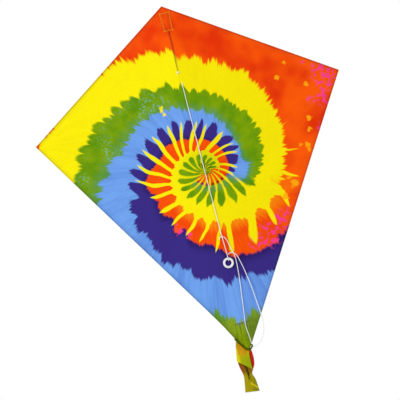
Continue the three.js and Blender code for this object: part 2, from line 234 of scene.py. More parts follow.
def tube(name, path, radius, sides, materials, strands=0, lay=1.0):
    """A tube along a path. With strands it has that many ridges, one turn in each lay length."""
    first, second = side_axes(path)
    along = distances(path)[:, None]
    angle = full_turn(sides)[None, :]
    relief = STRAND_RELIEF if strands else 0.0
    phase = strands * (angle - 2 * math.pi * along / lay)
    size = radius * (1 - relief * (0.5 - 0.5 * np.cos(phase)))
    outward = first[:, None, :] * np.cos(angle)[..., None] + second[:, None, :] * np.sin(angle)[..., None]
    rings = path[:, None, :] + size[..., None] * outward
    flat = np.stack(np.broadcast_arrays(angle / (2 * math.pi), along), axis=-1)
    return swept(name, rings, flat, materials)


def towards(origin, direction):
    """A placement with its origin there and its Z axis in that direction."""
    turn = Vector(direction).normalized().to_track_quat("Z", "Y")
    return Matrix.Translation(origin) @ turn.to_matrix().to_4x4()


def turned(name, profile, place, materials, sides=48):
    """A turned piece from a closed profile of (radius, height) points about the placement's Z axis."""
    angle = full_turn(sides)[:, None]
    radius, height = np.array(profile, float).T[:, None, :]
    points = np.stack(np.broadcast_arrays(radius * np.cos(angle), radius * np.sin(angle), height), axis=-1)
    faces = loop_faces(sides, len(profile), wrap=True)[:, [0, 3, 2, 1]]
    flat = np.stack(np.broadcast_arrays(angle / (2 * math.pi), height), axis=-1)
    piece = new_object(name, points.reshape(-1, 3), faces.tolist(), materials, flat.reshape(-1, 2))
    clean(piece.data, weld=True)
    piece.data.transform(place)
    return piece


def rounded(points, radius, steps=4):
    """A closed outline with each corner made round, by an arc that fits the shorter side."""
    result = []
    for before, corner, after in zip(points[-1:] + points[:-1], points, points[1:] + points[:1]):
        a, b, c = (Vector(p) for p in (before, corner, after))
        reach = min(radius, (a - b).length / 2, (c - b).length / 2)
        if b.x < 1e-9 or reach < 1e-9:
            result.append(tuple(b))
            continue
        enter = b + (a - b).normalized() * reach
        leave = b + (c - b).normalized() * reach
        for k in range(steps + 1):
            t = k / steps
            result.append(tuple(enter * (1 - t) ** 2 + b * 2 * t * (1 - t) + leave * t**2))
    return result


def metres(points):
    """Points given in millimetres, rounded so that each comes out as the plain decimal in metres."""
    return [tuple(round(c * MM, 7) for c in point) for point in points]


def fit(piece, body, slot, *nodes):
    """The piece rides on a body and takes the place of CAD nodes. slot is not used."""
    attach(piece, body)
    if nodes:
        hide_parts(*nodes)


# ---- Shader formulas ----
class Number:
    """A number that shader nodes work out at each point, so that a pattern can be written as a formula."""

    def __init__(self, socket):
        self.socket = socket
        self.tree = socket.id_data

    def node(self, kind, **settings):
        made = self.tree.nodes.new(kind)
        for key, value in settings.items():
            setattr(made, key, value)
        return made

    def feed(self, ports, *terms):
        for port, term in zip(ports, terms):
            if isinstance(term, Number):
                self.tree.links.new(term.socket, port)
            else:
                port.default_value = term

    def math(self, operation, *others):
        made = self.node("ShaderNodeMath", operation=operation)
        self.feed(made.inputs, self, *others)
        return Number(made.outputs[0])

    def __add__(self, other):
        return self.math("ADD", other)

    def __sub__(self, other):
        return self.math("SUBTRACT", other)

    def __mul__(self, other):
        return self.math("MULTIPLY", other)

    def __truediv__(self, other):
        return self.math("DIVIDE", other)

    def __rsub__(self, other):
        return self * -1 + other

    __radd__ = __add__
    __rmul__ = __mul__

    def rising(self, low, high):
        """0 below low, 1 above high and smooth between them. It falls where low is the higher one."""
        made = self.node("ShaderNodeMapRange", interpolation_type="SMOOTHSTEP")
        self.feed(made.inputs[:3], self, low, high)
        return Number(made.outputs[0])

    def below(self, edge, softness):
        return self.rising(edge + softness, edge - softness)

    def above(self, edge, softness):
        return self.rising(edge - softness, edge + softness)

    def curve(self, points):
        """A smooth curve through (input, output) points. It stays level beyond the first and last."""
        inputs, outputs = zip(*points)
        low, high = min(outputs), max(outputs)
        size = max(high - low, 1e-6)
        made = self.node("ShaderNodeFloatCurve")
        line = made.mapping.curves[0]
        places = [((x - inputs[0]) / (inputs[-1] - inputs[0]), (y - low) / size) for x, y in points]
        line.points[0].location = places[0]
        line.points[-1].location = places[-1]
        for place in places[1:-1]:
            line.points.new(*place)
        for point in line.points:
            point.handle_type = "AUTO_CLAMPED"
        made.mapping.extend = "HORIZONTAL"
        made.mapping.update()
        self.feed(made.inputs[1:], (self - inputs[0]) / (inputs[-1] - inputs[0]))
        return Number(made.outputs[0]) * size + low


def vector(x, y, z=0.0):
    made = x.node("ShaderNodeCombineXYZ")
    x.feed(made.inputs, x, y, z)
    return Number(made.outputs[0])


def noise(place, scale, detail=1.0, roughness=0.5):
    """Smooth noise from about -1 to 1."""
    made = place.node("ShaderNodeTexNoise")
    ports = [made.inputs[key] for key in ("Vector", "Scale", "Detail", "Roughness")]
    place.feed(ports, place, scale, detail, roughness)
    return (Number(made.outputs[0]) - 0.5) * 2.8


def mix(low, high, factor):
    """low where factor is 0 and high where it is 1. Colours are (red, green, blue) or a colour Number."""
    numbers = [term for term in (factor, low, high) if isinstance(term, Number)]
    made = numbers[0].node("ShaderNodeMix", data_type="RGBA")
    ports = [made.inputs[0]] + [port for port in made.inputs if port.type == "RGBA"]
    colours = [colour if isinstance(colour, Number) else (*colour, 1) for colour in (low, high)]
    numbers[0].feed(ports, factor, *colours)
    return Number([port for port in made.outputs if port.type == "RGBA"][0])


def bright(colour, factor):
    """The colour made lighter or darker: 1 leaves it as it is."""
    made = factor.node("ShaderNodeVectorMath", operation="SCALE")
    factor.feed([made.inputs[0], made.inputs["Scale"]], colour, factor)
    return Number(made.outputs[0])


def srgb(red, green, blue):
    """A screen colour, 0 to 255, as linear light."""
    shares = (c / 255 for c in (red, green, blue))
    return tuple(c / 12.92 if c <= 0.04045 else ((c + 0.055) / 1.055) ** 2.4 for c in shares)


class Finish:
    """A new material and its places: x and z of the flat piece in millimetres, and points in space."""

    def __init__(self, name, roughness, specular=0.5, sheen=0.0):
        self.material = bpy.data.materials.new(name)
        self.material.use_nodes = True
        self.tree = self.material.node_tree
        self.shader = self.tree.nodes["Principled BSDF"]
        self.shader.inputs["Roughness"].default_value = roughness
        self.shader.inputs["Specular IOR Level"].default_value = specular
        self.shader.inputs["Sheen Weight"].default_value = sheen

    def flat(self):
        uv = self.tree.nodes.new("ShaderNodeUVMap")
        uv.uv_map = FLAT
        parts = self.tree.nodes.new("ShaderNodeSeparateXYZ")
        self.tree.links.new(uv.outputs[0], parts.inputs[0])
        return Number(parts.outputs[0]) * 1000, Number(parts.outputs[1]) * 1000

    def space(self):
        made = self.tree.nodes.new("ShaderNodeTexCoord")
        return Number(made.outputs["Object"])

    def colour(self, colour):
        self.tree.links.new(colour.socket, self.shader.inputs["Base Color"])

    def rough(self, roughness):
        self.tree.links.new(roughness.socket, self.shader.inputs["Roughness"])

    def bump(self, height, distance, strength=1.0):
        """height is a Number from about -1 to 1, and distance its size in metres."""
        made = self.tree.nodes.new("ShaderNodeBump")
        made.inputs["Distance"].default_value = distance
        made.inputs["Strength"].default_value = strength
        self.tree.links.new(height.socket, made.inputs["Height"])
        self.tree.links.new(made.outputs[0], self.shader.inputs["Normal"])


# ---- The print: a tie-dye spiral that winds out from a centre, its colours in the order of q ----
ORANGE, ORANGE_DEEP, ORANGE_LIGHT = srgb(255, 90, 0), srgb(230, 48, 0), srgb(255, 146, 6)
# The second yellow is painted shade: the right half of the print is made a little darker, as if it faced
# away from the key light.
YELLOW, YELLOW_RIGHT_SHADE = srgb(250, 236, 0), srgb(248, 231, 0)
YELLOW_HEART, YELLOW_FLECK = srgb(222, 216, 0), srgb(255, 176, 10)
GREEN, GREEN_DEEP = srgb(126, 164, 0), srgb(84, 142, 4)
TEAL, TEAL_PALE = srgb(62, 144, 110), srgb(118, 186, 160)
OLIVE, OLIVE_DEEP = srgb(142, 166, 0), srgb(104, 128, 0)
BLUE, BLUE_DEEP = srgb(112, 164, 238), srgb(98, 144, 224)
BLUE_DARK, BLUE_PALE = srgb(84, 112, 200), srgb(152, 196, 236)
PURPLE, PURPLE_DEEP = srgb(56, 42, 130), srgb(40, 20, 92)
PINK = srgb(252, 60, 152)
DARK_TIP, PURPLE_TIP, HEART_LINES = srgb(62, 34, 8), srgb(70, 60, 130), srgb(44, 34, 0)
# The dark olive of these is painted shade, for the folds and sewn edges of gathered cloth.
SEWN_RED, SEWN_ORANGE, OLIVE_FOLD_SHADE = srgb(186, 40, 0), srgb(255, 128, 0), srgb(52, 66, 0)
WEAVE_PITCH = 0.6                       # millimetres

SPIRAL_X, SPIRAL_Z = 3.0, -156.0        # millimetres
TIP_X = 384                             # just beyond the wing tip, where the creases in the print meet
FIRST_RADIUS = 42.0                     # where the arm crosses the +X side for the first time
GROWTH = 1.585                          # natural log of the growth in one turn
HEART_GAP = 0.19                        # half the yellow between two petals at the heart, in rays
RAY_STEP = 15.3                         # usual degrees of the arm from one yellow ray to the next
RAYS = (                                # where the yellow rays are, in degrees of the arm
    -411, -388, -366, -340, -318, -294, -272, -248, -226, -202, -180, -156, -134, -116, -96, -78, -60, -43,
    -26, -10, 6, 33, 48, 68, 91, 104, 119, 130, 146, 162, 176, 188, 200, 217, 232, 247, 259, 272, 282, 300,
)

# Patches of colour as (x, z, radius), in millimetres.
YELLOW_FLECKS = (
    (253, 50, 5), (293, -13, 6), (280, -95, 7), (273, -122, 6), (262, -158, 7), (262, -168, 5), (228, 18, 6),
    (207, -240, 10), (178, -265, 7), (243, -152, 4), (196, -222, 5),
)
GREEN_FLECKS = ((-60, 16, 5), (-62, 8, 5), (-58, 0, 4))
PINK_PATCHES = (
    (342, 6, 34), (338, -24, 20), (325, -58, 22), (296, -50, 12), (302, -120, 9), (296, 44, 8),
    (118, -346, 30), (158, -318, 24), (80, -352, 18), (186, -298, 12), (-92, -280, 14), (-72, -296, 10),
)
TIP_PATCH = ((-376, 0, 7),)

# How far each colour reaches in q, and the yellow rays' reach and width, as (degrees of the arm, value).
GREEN_END = ((-120, 0.76), (-30, 0.75), (0, 0.79), (60, 0.77), (120, 0.78), (170, 0.82), (300, 0.8))
BLUE_END = (
    (-40, 0.42), (-26, 0.62), (-12, 0.62), (2, 0.53), (20, 0.48), (34, 0.5), (60, 0.54), (90, 0.56),
    (120, 0.6), (150, 0.58), (165, 0.62), (180, 0.65), (250, 0.63), (290, 0.6),
)
PURPLE_END = (
    (-30, 0.4), (0, 0.42), (12, 0.46), (50, 0.5), (75, 0.47), (110, 0.46), (190, 0.45), (290, 0.43),
)
ORANGE_END = (
    (-30, 0.26), (0, 0.23), (20, 0.19), (60, 0.21), (95, 0.22), (130, 0.25), (150, 0.2), (180, 0.28),
    (196, 0.19), (215, 0.2), (222, 0.14), (232, 0.22), (236, 0.14), (246, 0.22), (262, 0.2), (275, 0.28),
    (300, 0.27), (312, 0.25), (330, 0.6),
)
ORANGE_START = ((-30, -0.1), (180, -0.09), (230, -0.06), (300, -0.05), (330, 0.0), (430, 0.0))
RAY_REACH = (
    (-60, 0.3), (-30, 0.45), (60, 0.47), (170, 0.42), (192, 0.26), (250, 0.2), (270, 0.27), (300, 0.2),
    (335, 0.14), (400, 0.03),
)
RAY_WIDTH = (
    (-60, 0.22), (30, 0.2), (60, 0.21), (160, 0.2), (200, 0.18), (240, 0.15), (300, 0.18), (340, 0.1),
    (400, -0.05),
)
TEAL_PART = ((-30, 0.7), (60, 0.6), (100, 0.3), (180, 0.35), (220, 0.12))
# The yellow between the green petals, as (q, half width in rays): in the second turn and at the heart.
BETWEEN_PETALS = ((0.25, 0.4), (0.32, 0.2), (0.45, 0.13), (0.65, 0.14), (0.72, 0.22), (0.78, 0.4))
BETWEEN_CORE_PETALS = ((-0.1, 0.2), (0.3, 0.19), (0.6, 0.16), (0.72, 0.2), (0.77, 0.32), (0.8, 0.5))


def patches(place, centres):
    """1 inside any of the round patches (x, z, radius), and 0 outside."""
    found = None
    for x, z, radius in centres:
        distance = place.node("ShaderNodeVectorMath", operation="DISTANCE")
        place.feed(distance.inputs[:2], place, (x, z, 0))
        inside = Number(distance.outputs["Value"]).rising(radius * 1.25, radius * 0.6)
        found = inside if found is None else found.math("MAXIMUM", inside)
    return found


def spiral_print(x, z):
    """The colour of the printed cloth at x, z, with painted shade on the print: the right half a little
    darker, dark streaks fanning out from the wing tips, and soft rumple shade; there is also random
    lighter and darker tone. q grows from 0 to 1 across one turn of the arm, and angle is the number
    of degrees along the arm."""
    place = vector(x, z)
    right = x.rising(-0.5, 0.5)
    dx, dz = x - SPIRAL_X, z - SPIRAL_Z
    plain = (dx * dx + dz * dz).math("SQRT")
    dz = dz * (plain.rising(150, 70) * 0.12 + 1)
    radius = (dx * dx + dz * dz).math("SQRT")
    around = dz.math("ARCTAN2", dx)
    turn = (around / (2 * math.pi)).math("FRACT")
    cosine, sine = around.math("COSINE"), around.math("SINE")
    growth = (radius / FIRST_RADIUS).math("LOGARITHM", math.e) / GROWTH
    growth = growth + right * sine.rising(0.75, 1.0) * plain.rising(150, 220) * 0.035
    arm = (growth - turn + 0.1).math("FLOOR")
    q = growth - turn - arm
    angle = (turn + arm) * 360

    polar = vector(cosine, sine, growth * 0.17)
    fringe = noise(polar, 20, 2.0, 0.6)
    fingers = noise(polar, 7, 1.0)
    streaks = noise(vector(cosine, sine, growth * 0.05), 60, 2.0, 0.7)
    spikes = noise(polar, 44, 1.0)
    blotch = noise(place, 0.022, 3.0, 0.6)
    cloud = noise(place, 0.011, 2.0, 0.5)

    deep = angle.rising(-359, -361)
    sway = noise(place, 0.013, 1.0)
    lean = angle + q * 36 + deep * 324 + sway * 5
    warp = lean.curve([(ray, count - (ray - RAYS[0]) / RAY_STEP) for count, ray in enumerate(RAYS)])
    count = (lean - RAYS[0]) / RAY_STEP + warp
    gap = ((count + 0.5).math("FRACT") - 0.5).math("ABSOLUTE")
    petal = gap.rising(0.0, 0.5)
    inner = angle.rising(-20, -36)
    core = angle.rising(-138, -150) * (1 - deep * angle.rising(-506, -494) * q.rising(0.38, 0.42))
    edge = fringe * 0.02 + spikes * 0.012

    curves = (GREEN_END, BLUE_END, PURPLE_END, ORANGE_END, ORANGE_START)
    green_end, blue_end, purple_end, orange_end, orange_start = (angle.curve(points) for points in curves)
    ray_reach, ray_width, teal_part = (angle.curve(points) for points in (RAY_REACH, RAY_WIDTH, TEAL_PART))

    lobes = noise(vector(cosine, sine, growth * 0.04), 11, 0.0)
    billows = lobes.math("ABSOLUTE").math("SQRT") * 0.07 - 0.025
    ragged = edge * (inner * 0.5 + 0.5) + billows * (1 - inner)
    green_top = green_end + petal * inner * 0.06 - 0.012 + ragged
    green = q.below(green_top + deep * 0.4, 0.012)
    between = q.curve(BETWEEN_PETALS) * (1 - core) + core * (1 - deep) * q.curve(BETWEEN_CORE_PETALS)
    between = between + deep * HEART_GAP
    green = green * (1 - inner * gap.below(between + fringe * 0.08, 0.07))
    blue = q.below(blue_end + edge * 2.2 + fingers * 0.045, 0.014) * (1 - inner)
    notch = (1 - petal) * (1 - petal) * angle.rising(215, 150) * (fingers * 0.08 + 0.2)
    purple_top = purple_end - notch + edge * 1.6 + fingers * angle.rising(120, 210) * 0.045
    purple = q.below(purple_top, 0.012) * (1 - inner)
    orange = q.below(orange_end + edge * 1.3 + fingers * 0.025 * angle.rising(120, 200), 0.012)
    heart = deep * (1 - core)
    orange = (orange * (1 - core)).math("MAXIMUM", heart * gap.above(HEART_GAP, 0.06))
    outer = angle.rising(318, 345)
    start = (orange_start + 0.05 - q + edge + fingers * 0.02).math("MAXIMUM", 0.0) * 7
    start = start * (1 - outer) * (1 - inner)
    climb = (q.math("MAXIMUM", 0.0) / (ray_reach + 0.01)).math("MINIMUM", 1.0)
    taper = climb * climb * climb
    half_width = ray_width * (1 - taper * taper) + start - climb * 0.05
    ray = gap.below(half_width + fringe * 0.03 - 0.01, 0.035) * q.below(0.5, 0.02)
    before = q.below(orange_start - 0.012 + edge * 2.0 + fingers * 0.012, 0.014)
    ray = ray.math("MAXIMUM", outer * before)

    # Painted shade: the yellow of the right half is a little darker than that of the left.
    ground = mix(mix(YELLOW, YELLOW_RIGHT_SHADE, right), YELLOW_HEART, plain.rising(75, 30))
    tone = (blotch + fingers * 0.5 + streaks * 0.3).rising(-0.9, 0.7)
    leaf = mix(mix(GREEN_DEEP, GREEN, tone), mix(OLIVE_DEEP, OLIVE, tone), z.rising(-500, -535))
    ink = mix(ground, leaf, green)
    teal = green * q.below(blue_end + 0.05 + fringe * 0.04, 0.05) * teal_part
    ink = mix(ink, TEAL, teal * (1 - inner * 0.5) * (1 - core))
    splash = noise(place, 0.16, 2.0).rising(0.12, 0.3) * q.below(blue_end + 0.16, 0.06)
    splash = green * splash * (cloud + 0.1).rising(0.1, 0.4)
    ink = mix(ink, TEAL_PALE, splash * angle.rising(90, 120) * angle.rising(240, 200) * 0.7)
    sky = mix(BLUE_DEEP, BLUE, (streaks + fingers).rising(-0.9, 0.5))
    sky = mix(sky, BLUE_DARK, (fringe * 0.7 + fingers * 0.5).rising(0.3, 0.9) * 0.5)
    sky = mix(sky, BLUE_PALE, (streaks * 0.6 - fringe).rising(0.55, 1.1) * 0.6)
    ink = mix(ink, sky, blue)
    ink = mix(ink, mix(PURPLE_DEEP, PURPLE, (q - orange_end).rising(-0.02, 0.08)), purple)
    fan = (streaks * 0.3 + fingers * 0.25) * (1 - outer)
    hot = mix(ORANGE_DEEP, ORANGE, (fan + cloud * (outer * 0.8 + 0.4)).rising(-0.7, 0.5))
    pale = q.below(orange_start + 0.09 + fringe * 0.05, 0.06) * angle.rising(200, 230)
    pale = pale * angle.rising(350, 315)
    hot = mix(hot, ORANGE_LIGHT, pale * 0.8)
    ink = mix(ink, hot, orange)
    tips = inner * (1 - core) * gap.rising(0.18, 0.4) * q.rising(0.12, 0.2) * q.rising(0.3, 0.22)
    tips = tips * (1 - heart)
    ink = mix(ink, DARK_TIP, tips * 0.9)
    ink = mix(ink, PURPLE_TIP, tips * angle.rising(-84, -94) * angle.rising(-136, -126) * 0.8)
    ink = mix(ink, ground, ray * (1 - core) * (1 - heart))
    lines = noise(vector(cosine, sine), 9, 1.0).rising(0.0, 0.25) * plain.rising(26, 16) * plain.rising(3, 9)
    ink = mix(ink, HEART_LINES, lines * z.rising(-176, -160) * 0.9)

    wander = vector(x + noise(place, 0.11) * 5, z + noise(vector(z, x), 0.11) * 5)
    ink = mix(ink, YELLOW_FLECK, patches(wander, YELLOW_FLECKS) * 0.85)
    ink = mix(ink, YELLOW, patches(wander, GREEN_FLECKS) * 0.9)
    speckle = noise(place, 0.09, 2.0).rising(0.0, 0.25)
    ink = mix(ink, PINK, patches(wander, PINK_PATCHES) * speckle * (1 - ray) * 0.9)
    ink = mix(ink, ORANGE, patches(wander, TIP_PATCH))
    # Painted shade: dark streaks that fan out from the wing tips, where tension creases would shade the
    # cloth.
    reach = TIP_X - x.math("ABSOLUTE")
    bearing = z.math("ARCTAN2", reach)
    tip_crease_shade = noise(vector(bearing * 7 + right * 3, reach * 0.006), 1.0, 1.0) * reach.rising(330, 120)
    # Painted shade: soft lighter and darker patches standing in for the shading of rumpled cloth.
    rumple_shade = noise(vector(x * 0.7 + z * 0.3, z * 0.7 - x * 0.9), 0.016, 2.0, 0.5)
    # Random lighter and darker tone from the streak and blotch noise.
    tone_noise = streaks * 0.02 + blotch * 0.015
    return bright(ink, tone_noise - tip_crease_shade.math("ABSOLUTE") * 0.07 + rumple_shade * 0.035 + 1.02)


def weave(x, z, pitch=WEAVE_PITCH):
    """The threads of a plain weave, from -1 to 1."""
    wave = 2 * math.pi / pitch
    return (x * wave).math("SINE") * (z * wave).math("SINE")


def printed_cloth(name, shade=1.0, reverse=False, gathered=False, tint=0.0, frame=None):
    """Printed taffeta. The reverse shows the print paler, and shade darkens the whole colour as painted
    shade: of the doubled cloth on hems, binding and pockets, and partly on the seam. Gathered cloth
    gets painted shade in its fold valleys and along its sewn top and side. Tint is the share of orange
    in a hem, and frame the half width, lower and upper edge of a stitched outline, drawn as a paler
    orange line with darker red beside it and red streaks over the patch."""
    finish = Finish(name, roughness=0.55, specular=0.05)
    x, z = finish.flat()
    ink = spiral_print(x, z)
    if reverse:
        ink = mix(ink, srgb(238, 236, 226), 0.16)
    if tint:
        ink = mix(ink, srgb(214, 72, 0), z.rising(-30, 20) * tint)
    if frame:
        half_width, low, high = frame
        across = ((x - 2.5).math("ABSOLUTE") - half_width - (z - high) * 0.045).math("ABSOLUTE")
        down = (z - low).math("ABSOLUTE").math("MINIMUM", (z - high).math("ABSOLUTE"))
        outline = across.math("MINIMUM", down)
        streak = noise(vector(x * 0.22, z * 0.02), 1.0, 2.0, 0.6)
        ink = mix(ink, SEWN_RED, streak.rising(-0.3, 0.5) * 0.6)
        ink = mix(ink, SEWN_ORANGE, outline.below(1.6, 0.8) * 0.8)
        ink = mix(ink, SEWN_RED, outline.above(1.5, 0.3) * outline.below(2.3, 0.4) * 0.6)
    if gathered:
        # Painted shade: the valleys of the folds and the sewn top and side darken towards dark olive.
        folds = noise(vector(x * 0.19, z * 0.016), 1.0, 2.0, 0.6)
        top, side = (z + 534.5).math("ABSOLUTE").below(1.3, 0.6), (x + 16).math("ABSOLUTE").below(1.0, 0.5)
        sewn = top.math("MAXIMUM", side) * (0.45 + folds * 0.3)
        ink = mix(ink, OLIVE_FOLD_SHADE, (folds.rising(0.0, 0.6) * 0.75).math("MAXIMUM", sewn))
    threads = weave(x, z)
    crinkle = noise(vector(x, z), 0.055, 3.0)
    finish.colour(bright(ink, threads * 0.012 + shade))
    finish.rough(crinkle * 0.04 + 0.55)
    finish.bump(threads * 0.06 + crinkle, 0.0005, 1.0)
    return finish.material


# ---- The other finishes ----
def white_line():
    finish = Finish("white_braided_line", roughness=0.75, specular=0.3, sheen=0.3)
    around, along = finish.flat()
    slant = along * (2 * math.pi / 1.1)
    right_lay, left_lay = around * 0.008 * math.pi + slant, around * -0.008 * math.pi + slant
    braid = right_lay.math("SINE") * left_lay.math("SINE")
    grime = noise(finish.space(), 60, 2.0)
    # Darker where grime is, which is dirt, and where the braid dips between strands, which is painted shade.
    clean_and_lit_share = (braid * 0.5 + grime * 0.6).rising(-1.2, 0.2)
    finish.colour(mix(srgb(238, 238, 236), srgb(255, 255, 254), clean_and_lit_share))
    finish.bump(braid, 0.00015, 0.8)
    return finish.material


def stitch_thread():
    finish = Finish("stitch_thread", roughness=0.6, specular=0.3, sheen=0.2)
    place = finish.space()
    ply = noise(place, 900, 1.0)
    finish.colour(mix(srgb(34, 30, 42), srgb(66, 58, 74), ply.rising(-0.8, 0.8)))
    finish.bump(ply, 0.0001, 0.6)
    return finish.material


def glass_fibre():
    finish = Finish("black_glass_fibre", roughness=0.36, specular=0.5)
    around, along = finish.flat()
    fibres = noise(vector(around * 0.06, along * 0.004), 1.0, 3.0, 0.7)
    scuffs = noise(vector(around * 0.02, along * 0.05), 1.0, 2.0)
    finish.colour(mix(srgb(20, 20, 22), srgb(44, 44, 47), (fibres + scuffs * 0.4).rising(-0.9, 1.1)))
    finish.rough(scuffs * 0.07 + 0.38)
    finish.bump(fibres, 0.00006, 0.7)
    return finish.material


def black_vinyl():
    finish = Finish("soft_black_vinyl", roughness=0.5, specular=0.4)
    place = finish.space()
    grain, dust = noise(place, 1400, 2.0), noise(place, 130, 2.0)
    finish.colour(mix(srgb(24, 24, 26), srgb(52, 52, 55), (dust * 0.7 + grain * 0.3).rising(-0.5, 1.2)))
    finish.rough(dust * 0.06 + 0.5)
    finish.bump(grain * 0.5 + dust * 0.5, 0.00008, 0.6)
    return finish.material


def white_plastic():
    finish = Finish("white_ring_plastic", roughness=0.34, specular=0.5)
    place = finish.space()
    cloud, scratch = noise(place, 90, 2.0), noise(place, 700, 2.0, 0.7)
    finish.colour(mix(srgb(226, 226, 224), srgb(248, 248, 247), (cloud + scratch * 0.4).rising(-0.9, 0.6)))
    finish.rough(cloud * 0.05 + scratch * 0.03 + 0.34)
    finish.bump(scratch * 0.4 + cloud, 0.00006, 0.5)
    return finish.material


def woven(finish, ink, threads, shade, drift):
    """The finish of a strip with that ink, lighter and darker by shade, and with its threads showing."""
    finish.colour(bright(ink, threads * 0.02 + shade + 1.0))
    finish.bump(threads * 0.15 + drift * 0.4, 0.0004, 0.6)
    return finish.material


def tail_cloth():
    """The strip of printed cloth at the tail: orange above, yellow edge, olive below, red inside."""
    finish = Finish("tail_cloth", roughness=0.5, specular=0.08)
    x, z = finish.flat()
    drift = noise(vector(x, z), 0.12, 2.0)
    streaks = noise(vector(x * 0.35, z * 0.05), 1.0, 2.0, 0.7)
    ink = mix(srgb(168, 176, 0), srgb(216, 156, 10), (z + drift * 6 - x * 0.3).rising(-618, -594))
    ink = mix(ink, srgb(150, 168, 0), (z + drift * 5).rising(-612, -630) * (x + drift * 3).rising(-26, -8))
    ink = mix(ink, srgb(222, 214, 0), (x + drift * 2.5).rising(-25, -30))
    ink = mix(ink, srgb(178, 158, 0), (z + drift * 8).rising(-640, -664))
    ink = mix(ink, srgb(150, 142, 0), (x + drift * 4).rising(-14, -4) * z.rising(-650, -662))
    ink = mix(ink, srgb(204, 136, 20), (x + drift * 4).rising(-20, -27) * (z + drift * 5).rising(-680, -696))
    return woven(finish, ink, weave(x, z), streaks * 0.08, drift)


def tail_lining():
    """The inner layer of the tail: red on the right, brown in the shade of the fold, olive below."""
    finish = Finish("tail_lining", roughness=0.5, specular=0.08)
    x, z = finish.flat()
    drift = noise(vector(x, z), 0.12, 2.0)
    streaks = noise(vector(x * 0.4 + z * 0.12, z * 0.06), 1.0, 2.0, 0.7)
    place = vector(x + drift * 0.8, z + drift * 1.5)
    red = mix(srgb(206, 44, 0), srgb(160, 8, 26), (drift + streaks * 0.5).rising(-0.3, 0.7))
    ink = mix(srgb(168, 154, 0), srgb(132, 100, 6), (z + x * 0.4 + drift * 6).rising(-672, -655))
    brown = (x + drift * 3).rising(-16, -26) * (z + drift * 3).rising(-664, -646)
    ink = mix(ink, srgb(146, 70, 6), brown * 0.75)
    olive = (x - z * 0.18 + drift * 4).rising(108, 118) * z.rising(-650, -660)
    ink = mix(ink, srgb(122, 122, 0), olive * 0.7)
    ink = mix(ink, red, (x + drift * 1.5).rising(-9, -5) * (z + drift * 2).rising(-653, -648))
    # Painted highlight: a bright yellow streak along the lit side of a fold near the bottom.
    painted_fold_highlight = [(-15 + 1.5 * k, -682 - 1.5 * k, 2.1) for k in range(9)]
    ink = mix(ink, srgb(226, 212, 0), patches(place, painted_fold_highlight) * 0.75)
    # Painted shade: near-black patches in the shadow under the flap's edge and along the sharp crease.
    shade = [(-22 + 1.1 * k, -634 - 0.9 * k, 2.2) for k in range(5)]
    lining_crease_shade = [(-17.5 + 0.5 * k - 0.032 * k * k, -640 - 1.9 * k, 2.3 - 0.05 * k) for k in range(17)]
    ink = mix(ink, srgb(48, 38, 0), patches(place, shade + lining_crease_shade) * 0.8)
    return woven(finish, ink, weave(x, z), streaks * 0.14, drift)


def pale_floor():
    finish = Finish("pale_floor", roughness=0.7, specular=0.2)
    mottle = noise(finish.space(), 3.0, 4.0)
    finish.colour(mix(srgb(236, 236, 236), srgb(244, 244, 244), mottle.rising(-1, 1)))
    finish.bump(mottle, 0.0005, 0.3)
    return finish.material


CLOTH = printed_cloth("printed_cloth")
CLOTH_BACK = printed_cloth("printed_cloth_reverse", reverse=True)
# Hem: the print at 0.76 brightness, painted shade of the turned, doubled edge, with some orange mixed in.
CLOTH_EDGE_SHADED = printed_cloth("printed_cloth_hem_shaded", shade=0.76, tint=0.24)
# Tail binding: the print at 0.3 brightness, painted shade in the roll and round the knot.
CLOTH_BINDING_SHADED = printed_cloth("printed_cloth_binding_shaded", shade=0.3)
# Centre seam fold: the print at half brightness, partly the seam's own darker line and partly painted shade
# beside the spine.
CLOTH_SEAM_SHADED = printed_cloth("printed_cloth_seam_shaded", shade=0.5)
CLOTH_NOSE = printed_cloth("printed_cloth_nose", frame=(11.5, 193, 236))
# Tail patch: the print with painted shade in its folds and along its sewn edges.
CLOTH_GATHERED_FOLD_SHADE = printed_cloth("printed_cloth_gathered_fold_shade", gathered=True)
# Pockets and tail tab: the print at 0.9 brightness, painted shade of the doubled cloth.
CLOTH_POCKET_SHADED = printed_cloth("printed_cloth_pocket_shaded", shade=0.9)
LINE = white_line()
THREAD = stitch_thread()
FIBRE = glass_fibre()
VINYL = black_vinyl()
RING = white_plastic()
TAIL_CLOTH = tail_cloth()
TAIL_LINING = tail_lining()


# ---- Camera: square to the kite, turned so that the nose leans to the left ----
LENS, SENSOR = 400, 36                  # millimetres
VIEW_WIDTH = 0.966
VIEW_CENTRE = (-0.0252, 0, -0.2222)
LEAN = math.radians(14.34)


def make_camera():
    right = Vector((math.cos(LEAN), 0, -math.sin(LEAN)))
    up = Vector((math.sin(LEAN), 0, math.cos(LEAN)))
    back = Vector((0, -1, 0))
    camera = bpy.data.objects.new("camera", bpy.data.cameras.new("camera"))
    camera.data.lens, camera.data.sensor_width = LENS, SENSOR
    turn = Matrix((right, up, back)).transposed().to_4x4()
    distance = VIEW_WIDTH * LENS / SENSOR
    camera.matrix_world = Matrix.Translation(Vector(VIEW_CENTRE) + back * distance) @ turn
    bpy.context.scene.collection.objects.link(camera)
    bpy.context.scene.camera = camera


make_camera()


